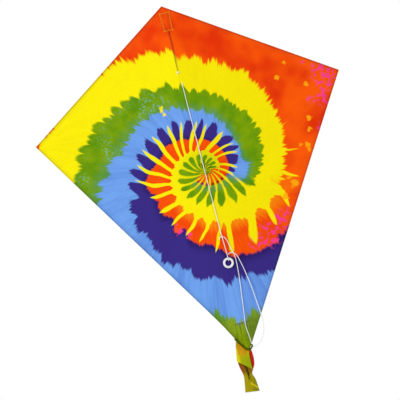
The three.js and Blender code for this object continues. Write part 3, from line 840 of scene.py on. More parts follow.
# ---- Bridle: one line, tied round the spine, knotted at the tow ring and tied at the tail ----
SPINE_HITCH_ROUTE = metres([
    (-2, -11.8, 86), (-2.4, -10.8, 85.9), (-3.3, -8.2, 84.6), (-4.5, -5.5, 81.5), (-2.7, -2.2, 77.5),
    (2.7, -2.2, 71.5), (4.5, -5.5, 67), (3.9, -8.2, 64.6), (3.1, -10.6, 62.4), (2.6, -12.6, 59),
    (2.5, -13.2, 54.5),
])
UPPER_ROUTE = metres([
    (2.5, -13.24, 54.2), (2.5, -13.3, 44), (2.4, -13.2, 10), (2.6, -13.1, -40), (2.9, -13, -95),
    (3.1, -13, -150), (3.3, -13.1, -205), (3.5, -13.3, -255), (3.7, -13.6, -295), (3.8, -13.9, -317.8),
])
RING_LOOP_ROUTE = metres([
    (4.1, -15.4, -323.4), (4.5, -17.4, -331), (5, -19.8, -346), (5.4, -21.6, -362),
    (5.6, -22.2, -374.8), (5.6, -20.6, -379.5), (5.6, -17, -381.1), (5.6, -13.4, -379.5),
    (5.6, -11.8, -374.8), (5.4, -11.8, -362), (5, -12, -346), (4.5, -12.3, -331), (4.1, -12.7, -323.6),
])
SLACK_ROUTE = metres([
    (7.6, -16, -366), (11.5, -16.2, -364), (17.6, -16, -363.6), (23.5, -15.7, -367.2),
    (27.8, -15.3, -372.9), (32.9, -14.6, -391.7), (36.5, -14, -409), (39.1, -13.5, -425.7),
    (42, -13.1, -445), (44.1, -12.9, -464.4), (46.6, -12.7, -492), (49.2, -12.6, -521.8),
    (50.2, -12.5, -540), (48.4, -12.4, -557), (42.6, -12.3, -574), (33, -12.3, -587.5),
    (22.5, -12.4, -595), (13.1, -12.5, -596.9),
])
LOWER_ROUTE = metres([
    (6.8, -13.4, -321.9), (10.2, -12.6, -325.4), (13.5, -12.1, -331.9), (16.9, -11.7, -347.7),
    (20.4, -11.5, -361), (22.5, -11.4, -374.1), (23, -11.5, -389), (22.3, -11.7, -404),
    (19.7, -12, -433.2), (15.3, -12.3, -469.5), (10.9, -12.5, -505.8), (7.4, -12.6, -532),
    (6.5, -12.6, -545), (7.6, -12.6, -559), (9.2, -12.6, -577), (10, -12.6, -593),
])
TAIL_LOOP_ROUTE = metres([
    (8.6, -11, -598.2), (6.4, -8.4, -600.2), (4.6, -4.9, -601), (2.2, -1.9, -601.2),
    (-1.6, -1.6, -601.2), (-4.3, -5, -601.2), (-3.6, -9.4, -601.2), (0, -12.1, -601.2),
    (4.6, -13.2, -600.6), (8.4, -13.6, -598.7),
])
KNOT_TAG_ROUTE = metres([
    (1.1, -14.2, -320.9), (-1.6, -14.3, -322.4), (-3.6, -14.2, -325.6),
])
TOP_KNOT, SLIP_KNOT, TAIL_KNOT = metres([(-0.8, -12.6, 89.2), (3.9, -14, -320.7), (10.2, -12.6, -596)])
STRANDS = {"sides": 12, "materials": [LINE], "strands": 3, "lay": 6 * MM}     # three strands laid together
OPEN_ANGLE = 0.12               # how far the ends of a knot stay apart, in radians of its loop


def line(name, route, node):
    """A stretch of the line, and its path."""
    path = smooth_path(route, 0.4 * MM)
    piece = tube(name, path, CORD_D / 2, **STRANDS)
    fit(piece, "spine", "bridle_line", node)
    return piece, path


def knot(name, centre, tilt, node, size=0.72):
    """A tight overhand knot: an open trefoil of the same line."""
    t = np.linspace(OPEN_ANGLE, 2 * math.pi - OPEN_ANGLE, 110)
    trefoil = [np.sin(t) + 2 * np.sin(2 * t), -1.35 * np.sin(3 * t), np.cos(t) - 2 * np.cos(2 * t)]
    turn = np.array(Matrix.Rotation(math.radians(tilt), 3, "Y"))
    path = even_steps(np.stack(trefoil, axis=1) * size * MM @ turn.T + np.array(centre), 0.35 * MM)
    piece = tube(name, path, CORD_D / 2 * 0.94, **STRANDS)
    fit(piece, "spine", "bridle_line", node)
    return piece


def cord(name, route):
    """A stretch of the line."""
    piece, path = line(name, route, f"bridle_{name}")
    path[::3].tolist() + [path[-1].tolist()]


def make_bridle():
    top_knot = knot("top_knot", TOP_KNOT, 20, "bridle_top_knot")
    slip_knot = knot("slip_knot_at_line", SLIP_KNOT, -35, "slip_knot")
    tail_knot = knot("tail_knot", TAIL_KNOT, 60, "bridle_tail_knot", 0.42)
    tag = line("slip_knot_end", KNOT_TAG_ROUTE, "slip_knot_tag")[0]
    cord("spine_hitch", SPINE_HITCH_ROUTE)
    cord("upper_line", UPPER_ROUTE)
    cord("ring_loop", RING_LOOP_ROUTE)
    cord("slack_strand", SLACK_ROUTE)
    cord("lower_line", LOWER_ROUTE)
    cord("tail_loop", TAIL_LOOP_ROUTE)


make_bridle()




# ---- Sail ----
SLACK_DEPTH = 5 * MM
SEAM_DEPTH, SEAM_WIDTH = 0.45 * MM, 0.9 * MM
BELLY_DEPTH, BELLY_Z, BELLY_LENGTH, BELLY_REACH = 3.4 * MM, -0.572, 0.034, 18 * MM
BLUNT_Z = -0.599                # the tail corner is cut off and bound
# Where tension creases start: x, z, creases in each radian, depth in millimetres, length of the rise and
# of the fall in metres, and phase.
CREASE_FANS = (
    (HALF_SPAN, 0.0, 34, 0.30, 0.05, 0.22, 0.3),
    (-HALF_SPAN, 0.0, 26, 0.45, 0.06, 0.26, 1.1),
    (0.0, NOSE_Z + 0.02, 22, 0.40, 0.06, 0.24, 0.0),
    (0.004, TAIL_Z - 0.04, 44, 0.30, 0.06, 0.20, 0.8),
)


def sail_front(x, z):
    """How far back the front of the cloth lies, at each x and z. Both halves slope back from the
    spine; the cloth hangs a little slack between the rods and is pulled into creases near the ends."""
    reach = np.abs(x)
    rest = RIDGE_Y + math.tan(DIHEDRAL) * np.sqrt(reach**2 + RIDGE_ROUND**2)
    edge_z = np.where(z > 0, NOSE_Z, -TAIL_Z) * (1 - reach / HALF_SPAN)
    room = np.clip(1 - np.abs(z) / np.maximum(edge_z, 1e-4), 0, 1)
    slack = np.sin(np.clip(reach / HALF_SPAN * 1.4, 0, 1) * math.pi) * room
    bag = SLACK_DEPTH * slack * np.clip((np.abs(z) - 0.02) / 0.12, 0, 1) ** 2 * np.clip(room * 2, 0, 1)
    return rest + bag + creases(x, z) + seam_dip(x)


def creases(x, z):
    """Shallow tension creases that run from the wing tips, the nose and the tail."""
    total = np.zeros_like(x)
    for tip_x, tip_z, count, depth, near, far, phase in CREASE_FANS:
        across, up = x - tip_x, z - tip_z
        distance = np.hypot(across, up)
        bearing = np.arctan2(up, np.abs(across) + 1e-9) if tip_x else np.arctan2(across, np.abs(up))
        fade = np.clip((distance - 0.01) / near, 0, 1) * np.clip(1 - (distance - near) / far, 0, 1)
        wave = np.sin(count * bearing + phase + 1.7 * np.sin(3.1 * bearing + phase))
        total += depth * MM * wave * fade**1.5
    clear = np.clip((np.abs(x) - 2 * MM) / (20 * MM), 0.25, 1)
    return total * clear


def seam_dip(x):
    """The narrow dip of the seam that joins the two halves along the spine."""
    return SEAM_DEPTH * np.exp(-((x / SEAM_WIDTH) ** 2))


def outline_z(x, inset=0.0):
    """The lower and upper edge of the cloth at x, inset by a distance square to each edge."""
    lower = TAIL_Z * (1 - x / HALF_SPAN) + inset * math.hypot(1, TAIL_Z / HALF_SPAN)
    upper = NOSE_Z * (1 - x / HALF_SPAN) - inset * math.hypot(1, NOSE_Z / HALF_SPAN)
    return lower, upper


def tail_spread(x, z):
    """Where x goes near the tail, where the doubled cloth bellies out on the left."""
    belly = BELLY_DEPTH * np.exp(-(((z - BELLY_Z) / BELLY_LENGTH) ** 2))
    return x - belly * np.clip(-x / BELLY_REACH, 0, 1)


def cloth_points(x, z, lift=0.0):
    """Points on the front of the cloth, moved back by lift, and their flat coordinates."""
    points = np.stack([tail_spread(x, z), sail_front(x, z) + lift, z], axis=-1)
    return points, np.stack([x, z], axis=-1)


def cloth_layer(name, x, z, lift, thick, materials):
    """A layer of cloth over the front of the sail at x and z: its front is moved back by lift."""
    front, flat = cloth_points(x, z, lift)
    return thin_sheet(name, front, cloth_points(x, z, lift + thick)[0], flat, materials)



def sail_panel(side, sign):
    """One half of the sail, from the centre seam to the wing tip."""
    columns, rows = 112, 176
    spread = np.linspace(0, 1, columns) ** 1.3
    x = spread * (HALF_SPAN - 0.4 * MM)
    lower, upper = outline_z(x)
    lower = np.maximum(lower, BLUNT_Z)
    hem_lower, hem_upper = outline_z(x, HEM_INSET)
    middle = (lower + upper) / 2
    hem_upper = np.maximum(hem_upper, middle + 1e-5)
    hem_lower = np.maximum(np.minimum(hem_lower, middle - 1e-5), lower + 0.012 * (middle - lower))
    t = np.linspace(0, 1, rows - 6)[:, None]
    body = hem_lower + (hem_upper - hem_lower) * t
    edge = np.linspace(0, 1, 4)[:3, None]
    below = lower + (hem_lower - lower) * edge
    above = upper + (hem_upper - upper) * edge[::-1]
    z = np.concatenate([below, body, above])
    x = np.broadcast_to(x * sign, z.shape)
    return cloth_layer(f"sail_{side}", x, z, 0.0, CLOTH_THICK, [CLOTH, CLOTH_BACK])


def edge_line(upper, inset, sign):
    """The ends of a line parallel to an edge of the cloth, from the middle of the kite to the wing tip."""
    corner = Vector((0, NOSE_Z if upper else TAIL_Z))
    tip = Vector((HALF_SPAN, 0))
    along = (tip - corner).normalized()
    inward = Vector((along.y, -along.x)) if upper else Vector((-along.y, along.x))
    start = corner + inward * inset
    start -= along * (start.x / along.x)
    end = start - along * (start.y / along.y)
    if not upper and start.y < BLUNT_Z:
        start += along * ((BLUNT_Z - start.y) / along.y)
    return Vector((start.x * sign, start.y)), Vector((end.x * sign, end.y))


# The turned hem, as a section of (distance in from the edge, distance back from the cloth's front).
HEM_SECTION = (
    (3.2, -0.06), (2.0, -0.18), (0.4, -0.18), (-0.5, 0.12), (-0.62, 0.42), (-0.45, 0.74), (0.0, 0.95),
    (0.9, 1.02), (3.0, 0.98), (5.6, 0.96), (6.6, 0.86), (7.2, 0.86), (8.2, 0.98), (9.0, 0.98), (9.3, 0.86),
    (9.1, 0.72), (7.2, 0.62), (6.6, 0.62), (5.6, 0.66), (3.0, 0.68), (0.9, 0.66), (0.1, 0.52), (-0.1, 0.34),
    (0.3, 0.06), (3.1, -0.01),
)


def hem(side, sign, upper):
    """A hem turned to the back along one edge, mitred at the centre and at the wing tip."""
    t = np.linspace(0, 1, 120)
    rings, flats = [], []
    for inset, depth in HEM_SECTION:
        start, end = edge_line(upper, inset * MM, sign)
        x = start.x + (end.x - start.x) * t
        z = start.y + (end.y - start.y) * t
        points, flat = cloth_points(x, z, depth * MM)
        rings.append(points)
        flats.append(flat)
    name = f"{side}_{'leading' if upper else 'trailing'}_hem_turned"
    return swept(name, np.stack(rings, axis=1), np.stack(flats, axis=1), [CLOTH_EDGE_SHADED])


STITCH_PITCH = 3.0 * MM
STITCH_LENGTH = 2.1 * MM
STITCH_R = 0.22 * MM


def stitches(name, start, end, lift=0.0):
    """A row of small stitches from start to end, lift behind the front of the cloth."""
    length = (end - start).length
    count = max(1, int(length / STITCH_PITCH))
    direction = (end - start) / length
    centres = np.array([start + direction * STITCH_PITCH * (k + 0.5) for k in range(count)])
    along = np.array([-0.5, -0.3, 0.0, 0.3, 0.5]) * STITCH_LENGTH
    girth = np.array([0.35, 0.85, 1.0, 0.85, 0.35])[:, None] * STITCH_R
    angle = full_turn(6)
    points = []
    for centre in centres:
        x = centre[0] + along[:, None] * direction.x - girth * np.cos(angle) * direction.y
        z = centre[1] + along[:, None] * direction.y + girth * np.cos(angle) * direction.x
        points.append(cloth_points(x, z, lift + girth * np.sin(angle))[0].reshape(-1, 3))
    one = loop_faces(5, 6).tolist() + [list(range(6)), list(range(29, 23, -1))]
    faces = [[first + k for k in face] for first in range(0, 30 * count, 30) for face in one]
    return new_object(name, np.concatenate(points), faces, [THREAD])


def bend_with_wing(piece):
    """Bakes the piece's placement into its mesh."""
    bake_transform(piece)


def make_sail():
    for side, sign in SIDES:
        panel = sail_panel(side, sign)
        bend_with_wing(panel)
        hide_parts(f"sail_{side}_panel", "sail_centre_strip")
        trims = []
        for upper, kind in ((True, "leading"), (False, "trailing")):
            strip = hem(side, sign, upper)
            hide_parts(f"{side}_{kind}_hem")
            start, end = edge_line(upper, HEM_INSET, sign)
            start, end = start + (end - start) * 0.006, end - (end - start) * 0.01
            outer = stitches(f"{side}_{kind}_stitches", start, end)
            inner = stitches(f"{side}_{kind}_stitches_behind", start, end, lift=1.0 * MM)
            trims += [strip, outer, inner]
        for trim in trims:
            bend_with_wing(trim)


make_sail()


# ---- Stitched outlines, pockets and the bound tail corner ----
NOSE_SHIFT = 2.5 * MM           # how far the nose patch lies to the right of the seam
PATCH_LOW, PATCH_HIGH, PATCH_EDGE = 0.1905, 0.2385, 0.0140
SEAM_LOW, SEAM_HIGH = 0.0925, 0.1915


def stitched_outline(name, corners):
    """Rows of stitches along a line through the given corners (x, z) on the front of the cloth."""
    return [
        stitches(f"{name}_{k}", Vector(start), Vector(end), lift=-0.75 * MM)
        for k, (start, end) in enumerate(zip(corners, corners[1:]))
    ]


def joined(name, pieces):
    """One piece made of several."""
    with bpy.context.temp_override(active_object=pieces[0], selected_editable_objects=pieces):
        bpy.ops.object.join()
    pieces[0].name = name
    return pieces[0]


def seam_stitching():
    """The close stitching of the centre seam above the bridle, and round the nose pocket."""
    low, high, half = 0.1935, 0.2355, 0.0105
    outline = [(-half, high), (-half, low), (half, low), (half, high), (-half, high)]
    inner = [(x * 0.82 + NOSE_SHIFT, z + (1.6 * MM if z < 0.2 else -1.6 * MM)) for x, z in outline]
    outline = [(x + NOSE_SHIFT, z) for x, z in outline]
    rows = stitched_outline("nose_outer", outline) + stitched_outline("nose_inner", inner)
    seam = [
        stitches(f"seam_{k}", Vector((x, 0.191)), Vector((x - 1.2 * MM, 0.091)))
        for k, x in enumerate((0.2 * MM, 4.8 * MM))
    ]
    fit(joined("nose_pocket_stitches", rows), "spine", "sail_cloth")
    fit(joined("centre_seam_stitches", seam), "spine", "sail_cloth")


def nose_patch():
    """The doubled patch on the front of the nose, under the stitched outline."""
    side = np.linspace(-0.0115, 0.0165, 60)
    x, z = np.meshgrid(side, np.linspace(PATCH_LOW, PATCH_HIGH, 100))
    off = np.abs(x - NOSE_SHIFT)
    edge = np.minimum(PATCH_EDGE - off, np.minimum(z - PATCH_LOW, PATCH_HIGH - z))
    rise = np.clip(edge / (1.5 * MM), 0, 1)
    outline = np.abs(np.minimum(0.0115 - off, np.minimum(z - 0.193, 0.236 - z)))
    pinch = 0.22 * MM * np.exp(-((outline / (0.8 * MM)) ** 2))
    gathers = np.sin(x / (0.9 * MM) + 0.8 * np.sin(z / (9 * MM))) * np.clip(edge / (4 * MM), 0, 1)
    lift = -0.1 * MM - rise * (0.45 * MM + 0.14 * MM * gathers - pinch)
    fit(cloth_layer("nose_patch", x, z, lift - 0.2 * MM, 0.2 * MM, [CLOTH_NOSE]), "spine", "pocket_cloth")


def seam_fold():
    """The folded edge of the two halves, sewn together down the middle above the bridle."""
    z = np.linspace(SEAM_LOW, SEAM_HIGH, 220)
    drift = NOSE_SHIFT * np.sin((z - SEAM_LOW) / (SEAM_HIGH - SEAM_LOW) * math.pi / 2)
    x = 0.25 * MM * np.sin(z / (6 * MM)) + drift
    path = np.stack([x, sail_front(x, z) - 0.35 * MM, z], axis=1)
    piece = tube("centre_seam_fold", path, 1.25 * MM, 14, [CLOTH_SEAM_SHADED], strands=1, lay=5 * MM)
    lay_flat(piece)
    fit(piece, "spine", "sail_cloth")


def lay_flat(piece):
    """Gives a rolled piece the flat coordinates of the cloth that it is rolled from."""
    corners = np.empty(len(piece.data.loops), np.int32)
    piece.data.loops.foreach_get("vertex_index", corners)
    places = np.array([vertex.co for vertex in piece.data.vertices])
    piece.data.uv_layers[FLAT].data.foreach_set("uv", places[corners][:, [0, 2]].astype(np.float32).ravel())


def sleeve_height(across, half_arch, height):
    """The height of cloth that goes over a rod: steep at its sides and flat on top."""
    return height * np.exp(-((across / half_arch) ** 4))


def pocket(name, x, z, height):
    """A patch on the back of the cloth over a grid of (x, z), standing off it by height."""
    y = sail_front(x, z) + CLOTH_THICK + 0.15 * MM + height
    front, back = (np.stack([x, y + thick, z], axis=-1) for thick in (0.0, 0.5 * MM))
    return thin_sheet(name, front, back, np.stack([x, z], axis=-1), [CLOTH_POCKET_SHADED, CLOTH_POCKET_SHADED])


def spine_pocket(name, half_width, low, high, closed_at_top, node):
    """A pocket for one end of the spine, sewn down at its sides and, if closed, over the end."""
    x, z = np.meshgrid(np.linspace(-half_width, half_width, 72), np.linspace(low, high, 60))
    closing = np.clip((high - z) / (3 * MM), 0, 1) if closed_at_top else 1.0
    closing = closing * closing * (3 - 2 * closing)
    ripple = 0.12 * MM * np.sin(z / (3.1 * MM)) * np.sin(x / (2.3 * MM))
    top = SPAR_Y + SPINE_R + 1.3 * MM
    sleeve = sleeve_height(x, 4.9 * MM, top - (sail_front(x, z) + CLOTH_THICK))
    piece = pocket(name, x, z, sleeve * closing + ripple + 0.15 * MM)
    fit(piece, "spine", "pocket_cloth", node)


def tip_pocket(side, sign):
    """The pocket at a wing tip that the end of the spreader is pushed into."""
    inner_x, outer_x, reach = HALF_SPAN - 0.046, HALF_SPAN - 0.0085, 0.0195
    x, t = np.meshgrid(np.linspace(inner_x, outer_x, 64), np.linspace(-1, 1, 56))
    z = t * np.minimum(reach, NOSE_Z * (1 - x / HALF_SPAN) - 1.2 * MM)
    closing = np.clip((outer_x - x) / (6 * MM), 0, 1)
    top = SPAR_Y + (x - FOLD_X) * math.tan(DIHEDRAL) + 3.1 * MM
    ripple = 0.1 * MM * np.sin(x / (2.9 * MM)) * np.sin(z / (2.1 * MM))
    sleeve = sleeve_height(z, 3.9 * MM, top - (sail_front(x, z) + CLOTH_THICK))
    piece = pocket(f"{side}_tip_pocket_sewn", x * sign, z, sleeve * closing + ripple + 0.85 * MM)
    fit(piece, f"{side}_wing", "pocket_cloth", f"{side}_tip_pocket")


PATCH_TOP = -0.533
PATCH_HALF = 0.017


def tail_patch(side, sign):
    """Half of the doubled patch on the front of the tail corner, gathered into upright folds."""
    s, z = np.meshgrid(np.linspace(0, 1, 40), np.linspace(BLUNT_Z + 1.5 * MM, PATCH_TOP, 90))
    half = np.minimum(PATCH_HALF, HALF_SPAN * (1 - z / TAIL_Z) - 1.6 * MM)
    x = s * half * sign
    rise = np.clip((PATCH_TOP - z) / (3 * MM), 0, 1)
    side_fade = np.clip((half - np.abs(x)) / (1.5 * MM), 0, 1)
    coarse = np.sin(x / (1.3 * MM) + 0.9 * np.sin(z / (14 * MM)))
    folds = coarse + 0.5 * np.sin(x / (0.7 * MM) - z / (12 * MM))
    puff = (0.42 * MM + 0.32 * MM * folds) * rise * side_fade
    lift = -0.3 * MM - np.maximum(puff, 0)
    patch = cloth_layer(f"tail_patch_{side}", x, z, lift - 0.22 * MM, 0.22 * MM, [CLOTH_GATHERED_FOLD_SHADE])
    bend_with_wing(patch)


def tail_patch_stitches(side, sign):
    """Two rows of stitches across the top of the tail patch and one down its side."""
    rows = []
    for drop in (1.5 * MM, 4.0 * MM):
        ends = Vector((0.2 * MM * sign, PATCH_TOP - drop)), Vector((PATCH_HALF * sign, PATCH_TOP - drop))
        rows.append(stitches(f"patch_row_{side}", *ends, lift=-1.0 * MM))
    x = PATCH_HALF * 0.94 * sign
    rows.append(stitches(f"patch_side_{side}", Vector((x, PATCH_TOP)), Vector((x, -0.572)), lift=-0.5 * MM))
    sewing = joined(f"tail_patch_{side}_stitches", rows)
    bend_with_wing(sewing)


BINDING_ROUTES = {
    "left": metres([
        (-26.8, -10.2, -566.8), (-24.8, -11.0, -572.0), (-20.6, -11.8, -578.5), (-15.7, -12.4, -585.7),
        (-11.4, -13.0, -591.8), (-7.6, -13.8, -597.3), (-3.8, -14.8, -600.6), (0.6, -15.3, -601.2),
    ]),
    "right": metres([
        (-0.4, -15.3, -601.2), (1.8, -15.6, -601.0), (4.4, -15.8, -599.9), (7.4, -16.0, -597.6),
        (9.4, -16.0, -594.4), (10.0, -13.4, -590.8),
    ]),
}


def tail_binding(side):
    """Half of the rolled hem round the cut-off tail corner: a flat roll of cloth, turned as it goes."""
    path = smooth_path(BINDING_ROUTES[side], 0.5 * MM)
    name = f"tail_corner_binding_{side}"
    piece = tube(name, path, 2.1 * MM, 18, [CLOTH_BINDING_SHADED], strands=2, lay=22 * MM)
    lay_flat(piece)
    bend_with_wing(piece)


def make_trims():
    nose_patch()
    seam_fold()
    seam_stitching()
    spine_pocket("nose_pocket_sewn", 0.0115, 0.194, 0.2435, True, "nose_pocket")
    spine_pocket("tail_pocket_sewn", 0.0095, -0.5885, -0.534, False, "tail_pocket")
    for side, sign in SIDES:
        tip_pocket(side, sign)
        tail_patch(side, sign)
        tail_patch_stitches(side, sign)
        tail_binding(side)


make_trims()


# ---- Spars, centre fitting and caps ----
def rod(name, place, low, high, radius, body, node):
    """A drawn rod with a small chamfer at each end."""
    bevel = radius * 0.2
    profile = [(0, low), (radius - bevel, low), (radius, low + bevel)]
    profile += [(radius, low + (high - low) * k / 12) for k in range(1, 12)]
    profile += [(radius, high - bevel), (radius - bevel, high), (0, high)]
    fit(turned(name, profile, place, [FIBRE], 32), body, "fibreglass", node)


SPINE_CAP_DEPTH = 7.6 * MM      # how far the rod goes into its cap
SPREADER_CAP_DEPTH = 6.2 * MM


def cap(node, place, bore, wall, length, body):
    """A soft cap with a rolled lip at its mouth and a dome at its end. Its mouth is at height 0."""
    outer = bore + wall
    rise, quarter = outer * 0.7, np.linspace(0, math.pi / 2, 9)
    dome = [(outer * math.cos(a), length - rise + rise * math.sin(a)) for a in quarter]
    lip = [(bore, 0), (bore + wall * 0.5, -wall * 0.25), (outer + wall * 0.35, 0.15 * MM)]
    bead = [(outer + wall * 0.45, wall), (outer + wall * 0.1, wall * 1.8), (outer, wall * 2.4)]
    inside = [(0, length - wall), (bore * 0.7, length - wall), (bore, length - wall * 1.6)]
    profile = lip + bead + dome[:-1] + [(0, length)] + inside
    fit(turned(f"{node}_moulded", profile, place, [VINYL], 40), body, "black_vinyl", node)


def ring_profile(inner, outer, half):
    return [(inner, -half), (outer, -half), (outer, half), (inner, half)]


def stopper(node):
    """A soft ring on the spine with a rounded outside."""
    outline = rounded(ring_profile(SPINE_R + 0.1 * MM, SPINE_R + 1.4 * MM, 2.5 * MM), 0.6 * MM)
    place = towards((0, SPAR_Y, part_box(node)[0].z + 2.5 * MM), (0, 0, 1))
    fit(turned(f"{node}_moulded", outline, place, [VINYL], 40), "spine", "black_vinyl", node)


# The centre fitting's girth at each share of its height: a bead round its middle and both ends.
HUB_LEVELS = (
    (0.0, 0.86), (0.03, 0.95), (0.07, 0.99), (0.1, 1.0), (0.14, 1.0), (0.18, 0.965), (0.42, 0.955),
    (0.46, 1.0), (0.54, 1.0), (0.58, 0.955), (0.82, 0.965), (0.86, 1.0), (0.9, 1.0), (0.93, 0.99),
    (0.97, 0.95), (1.0, 0.86),
)


def hub():
    """The moulded centre fitting: a block with rounded edges and beads round it."""
    half_x, half_z = (HUB_HIGH.x - HUB_LOW.x) / 2, (HUB_HIGH.z - HUB_LOW.z) / 2
    half_y = (HUB_HIGH.y - HUB_LOW.y) / 2
    rings = []
    for share, girth in HUB_LEVELS:
        ring = []
        for a in full_turn(40):
            bulge = (abs(math.cos(a)) ** 4 + abs(math.sin(a)) ** 4) ** -0.25
            x = min(half_x, bulge * half_x) * math.cos(a) * girth
            y = -half_y + bulge * half_y * math.sin(a) * (girth if math.sin(a) < 0 else 1)
            ring.append((x, min(y, 0.0), -half_z + share * 2 * half_z))
        rings.append(ring)
    rings = np.array(rings)
    piece = swept("centre_fitting_moulded", rings, rings[..., [0, 2]], [VINYL])
    fit(piece, "spine", "black_vinyl", "centre_fitting")


def socket(side, place):
    """The vinyl tube that holds a spreader: round inner end, three grip rings and a flared mouth."""
    bore, r, length = SPREADER_R + 0.25 * MM, SOCKET_R, SOCKET_LENGTH
    groove = r * 0.93
    dome = [(r * 0.94 * math.sin(a), -r * 0.94 * math.cos(a)) for a in np.linspace(0, math.pi / 2, 9)]
    rings = []
    for start in (6 * MM, 10.2 * MM, 14.4 * MM):
        rings += [(groove, start), (r, start + 0.5 * MM), (r, start + 1.4 * MM), (groove, start + 1.9 * MM)]
    mouth = [(groove, length - 4 * MM), (r * 0.98, length - 2 * MM), (r, length - 0.8 * MM)]
    inside = [(r * 0.96, length), (bore + 0.3 * MM, length), (bore, length - 0.4 * MM), (bore, r), (0, r)]
    piece = turned(f"{side}_socket_moulded", dome + rings + mouth + inside, place, [VINYL], 40)
    fit(piece, f"{side}_wing", "black_vinyl", f"{side}_fitting_socket")


def neck(side, sign):
    """The soft ribbed neck between the centre fitting and a socket."""
    start, end = HUB_HIGH.x - 0.6 * MM, FOLD_X + 3.2 * MM
    profile = [(0, start)]
    for k in range(25):
        share = k / 24
        profile.append(((2.35 + 0.22 * math.cos(share * 6 * math.pi)) * MM, start + (end - start) * share))
    profile.append((0, end))
    piece = turned(f"{side}_neck", profile, towards((0, SPAR_Y, 0), (sign, 0, 0)), [VINYL], 32)
    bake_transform(piece)


def make_frame():
    up = towards((0, SPAR_Y, 0), (0, 0, 1))
    rod("spine_rod_drawn", up, SPINE_BOTTOM, SPINE_TOP, SPINE_R, "spine", "spine_rod")
    for end, height, sign in (("top", SPINE_TOP, 1), ("bottom", SPINE_BOTTOM, -1)):
        mouth = towards((0, SPAR_Y, height - sign * SPINE_CAP_DEPTH), (0, 0, sign))
        cap(f"spine_cap_{end}", mouth, SPINE_R + 0.1 * MM, 0.7 * MM, 9 * MM, "spine")
    stopper("stopper_above")
    stopper("stopper_below")
    hub()
    for side, sign in SIDES:
        wing, spreader = f"{side}_wing", f"{side}_spreader"
        place = towards((sign * FOLD_X, SPAR_Y, 0), (sign * math.cos(DIHEDRAL), math.sin(DIHEDRAL), 0))
        socket(side, place)
        neck(side, sign)
        low, high = SOCKET_R + 0.3 * MM, SPREADER_END_U
        rod(f"{spreader}_drawn", place, low, high, SPREADER_R, wing, f"{spreader}_rod")
        mouth = place @ Matrix.Translation((0, 0, SPREADER_END_U - SPREADER_CAP_DEPTH))
        cap(f"{spreader}_cap", mouth, SPREADER_R + 0.1 * MM, 0.5 * MM, 7 * MM, wing)


make_frame()


# ---- Tow ring ----
def tow_ring():
    low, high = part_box("tow_ring")
    outline = rounded(ring_profile(7.5 * MM, (high.x - low.x) / 2, (high.y - low.y) / 2), 1.9 * MM, 8)
    ring = turned("tow_ring_moulded", outline, towards((low + high) / 2, (0, 1, 0)), [RING], 96)
    fit(ring, "tow_ring", "ring_plastic", "tow_ring")


tow_ring()


# ---- Tail: a strip of the printed cloth, folded over and twisted, hung from a tab by a short tie ----
def lofted_strip(name, left, right, folds, fold_depth, pressed, material, rows=150, columns=72):
    """A strip between two edges, each a list of points. It is gathered into folds across its width."""
    left, right = (resampled(smooth_path(edge, 0.5 * MM), rows) for edge in (left, right))
    t = np.linspace(0, 1, columns)[None, :, None]
    middle = left[:, None, :] * (1 - t) + right[:, None, :] * t
    s = np.linspace(0, 1, rows)[:, None]
    across = t[..., 0]
    wave = np.sin(folds * math.pi * across + 2.2 * s) * np.sin(math.pi * across) ** 0.5
    middle[..., 1] += fold_depth(s) * wave + pressed(middle[..., 0], middle[..., 2])
    flat = middle[..., [0, 2]]
    back = middle + (0, 0.3 * MM, 0)
    return thin_sheet(name, middle[::-1], back[::-1], flat[::-1], [material])


FLAP_LEFT = metres([
    (-26.2, 1.8, -575.5), (-28, 1.8, -581), (-30, 1.6, -590), (-32.6, 0.4, -606), (-35.2, -2.4, -620),
    (-35.6, -2, -622.5), (-34, -0.2, -621.5), (-31.5, 1, -615),
])
FLAP_RIGHT = metres([
    (-6, 2.2, -587), (-0.6, 1.8, -591), (0.4, 1.4, -600), (-2.6, -0.2, -616), (-3.4, -3.2, -647),
    (-3, -2.8, -650), (-3.4, -0.8, -649), (-6.4, 0.4, -640),
])
LINING_LEFT = metres([
    (-16, 3.8, -580), (-25, 3.8, -595), (-33, 3, -618), (-33, 1.6, -635), (-29.8, 0.8, -650),
    (-28.2, 0.4, -662), (-30.4, 1, -678), (-34.2, 1.4, -700),
])
LINING_RIGHT = metres([
    (-5, 3.8, -581), (3.6, 3.4, -596), (6.2, 2.6, -612), (6, 1.8, -627), (3.6, 1.2, -640),
    (-2.2, 0.8, -650), (-6.6, 0.6, -659), (-2.4, 1.2, -673), (0.6, 1.6, -704.4),
])
# The sharp creases of the lining: start and end (x, z), depth and width.
CREASES = (
    ((-0.0190, -0.640), (-0.0160, -0.658), 0.0030, 0.0016),
    ((-0.0160, -0.658), (-0.0125, -0.676), 0.0030, 0.0018),
    ((-0.0140, -0.682), (-0.0030, -0.694), -0.0016, 0.0020),
    ((-0.0290, -0.664), (-0.0240, -0.690), 0.0010, 0.0020),
)


def crease_depth(x, z):
    """How far back the lining is pressed by its sharp creases."""
    total = np.zeros_like(x)
    for start, end, depth, width in CREASES:
        start, end = np.array(start), np.array(end)
        along = end - start
        share = ((x - start[0]) * along[0] + (z - start[1]) * along[1]) / (along @ along)
        share = np.clip(share, 0, 1)
        distance = np.hypot(x - start[0] - share * along[0], z - start[1] - share * along[1])
        total += depth * np.exp(-((distance / width) ** 2))
    return total


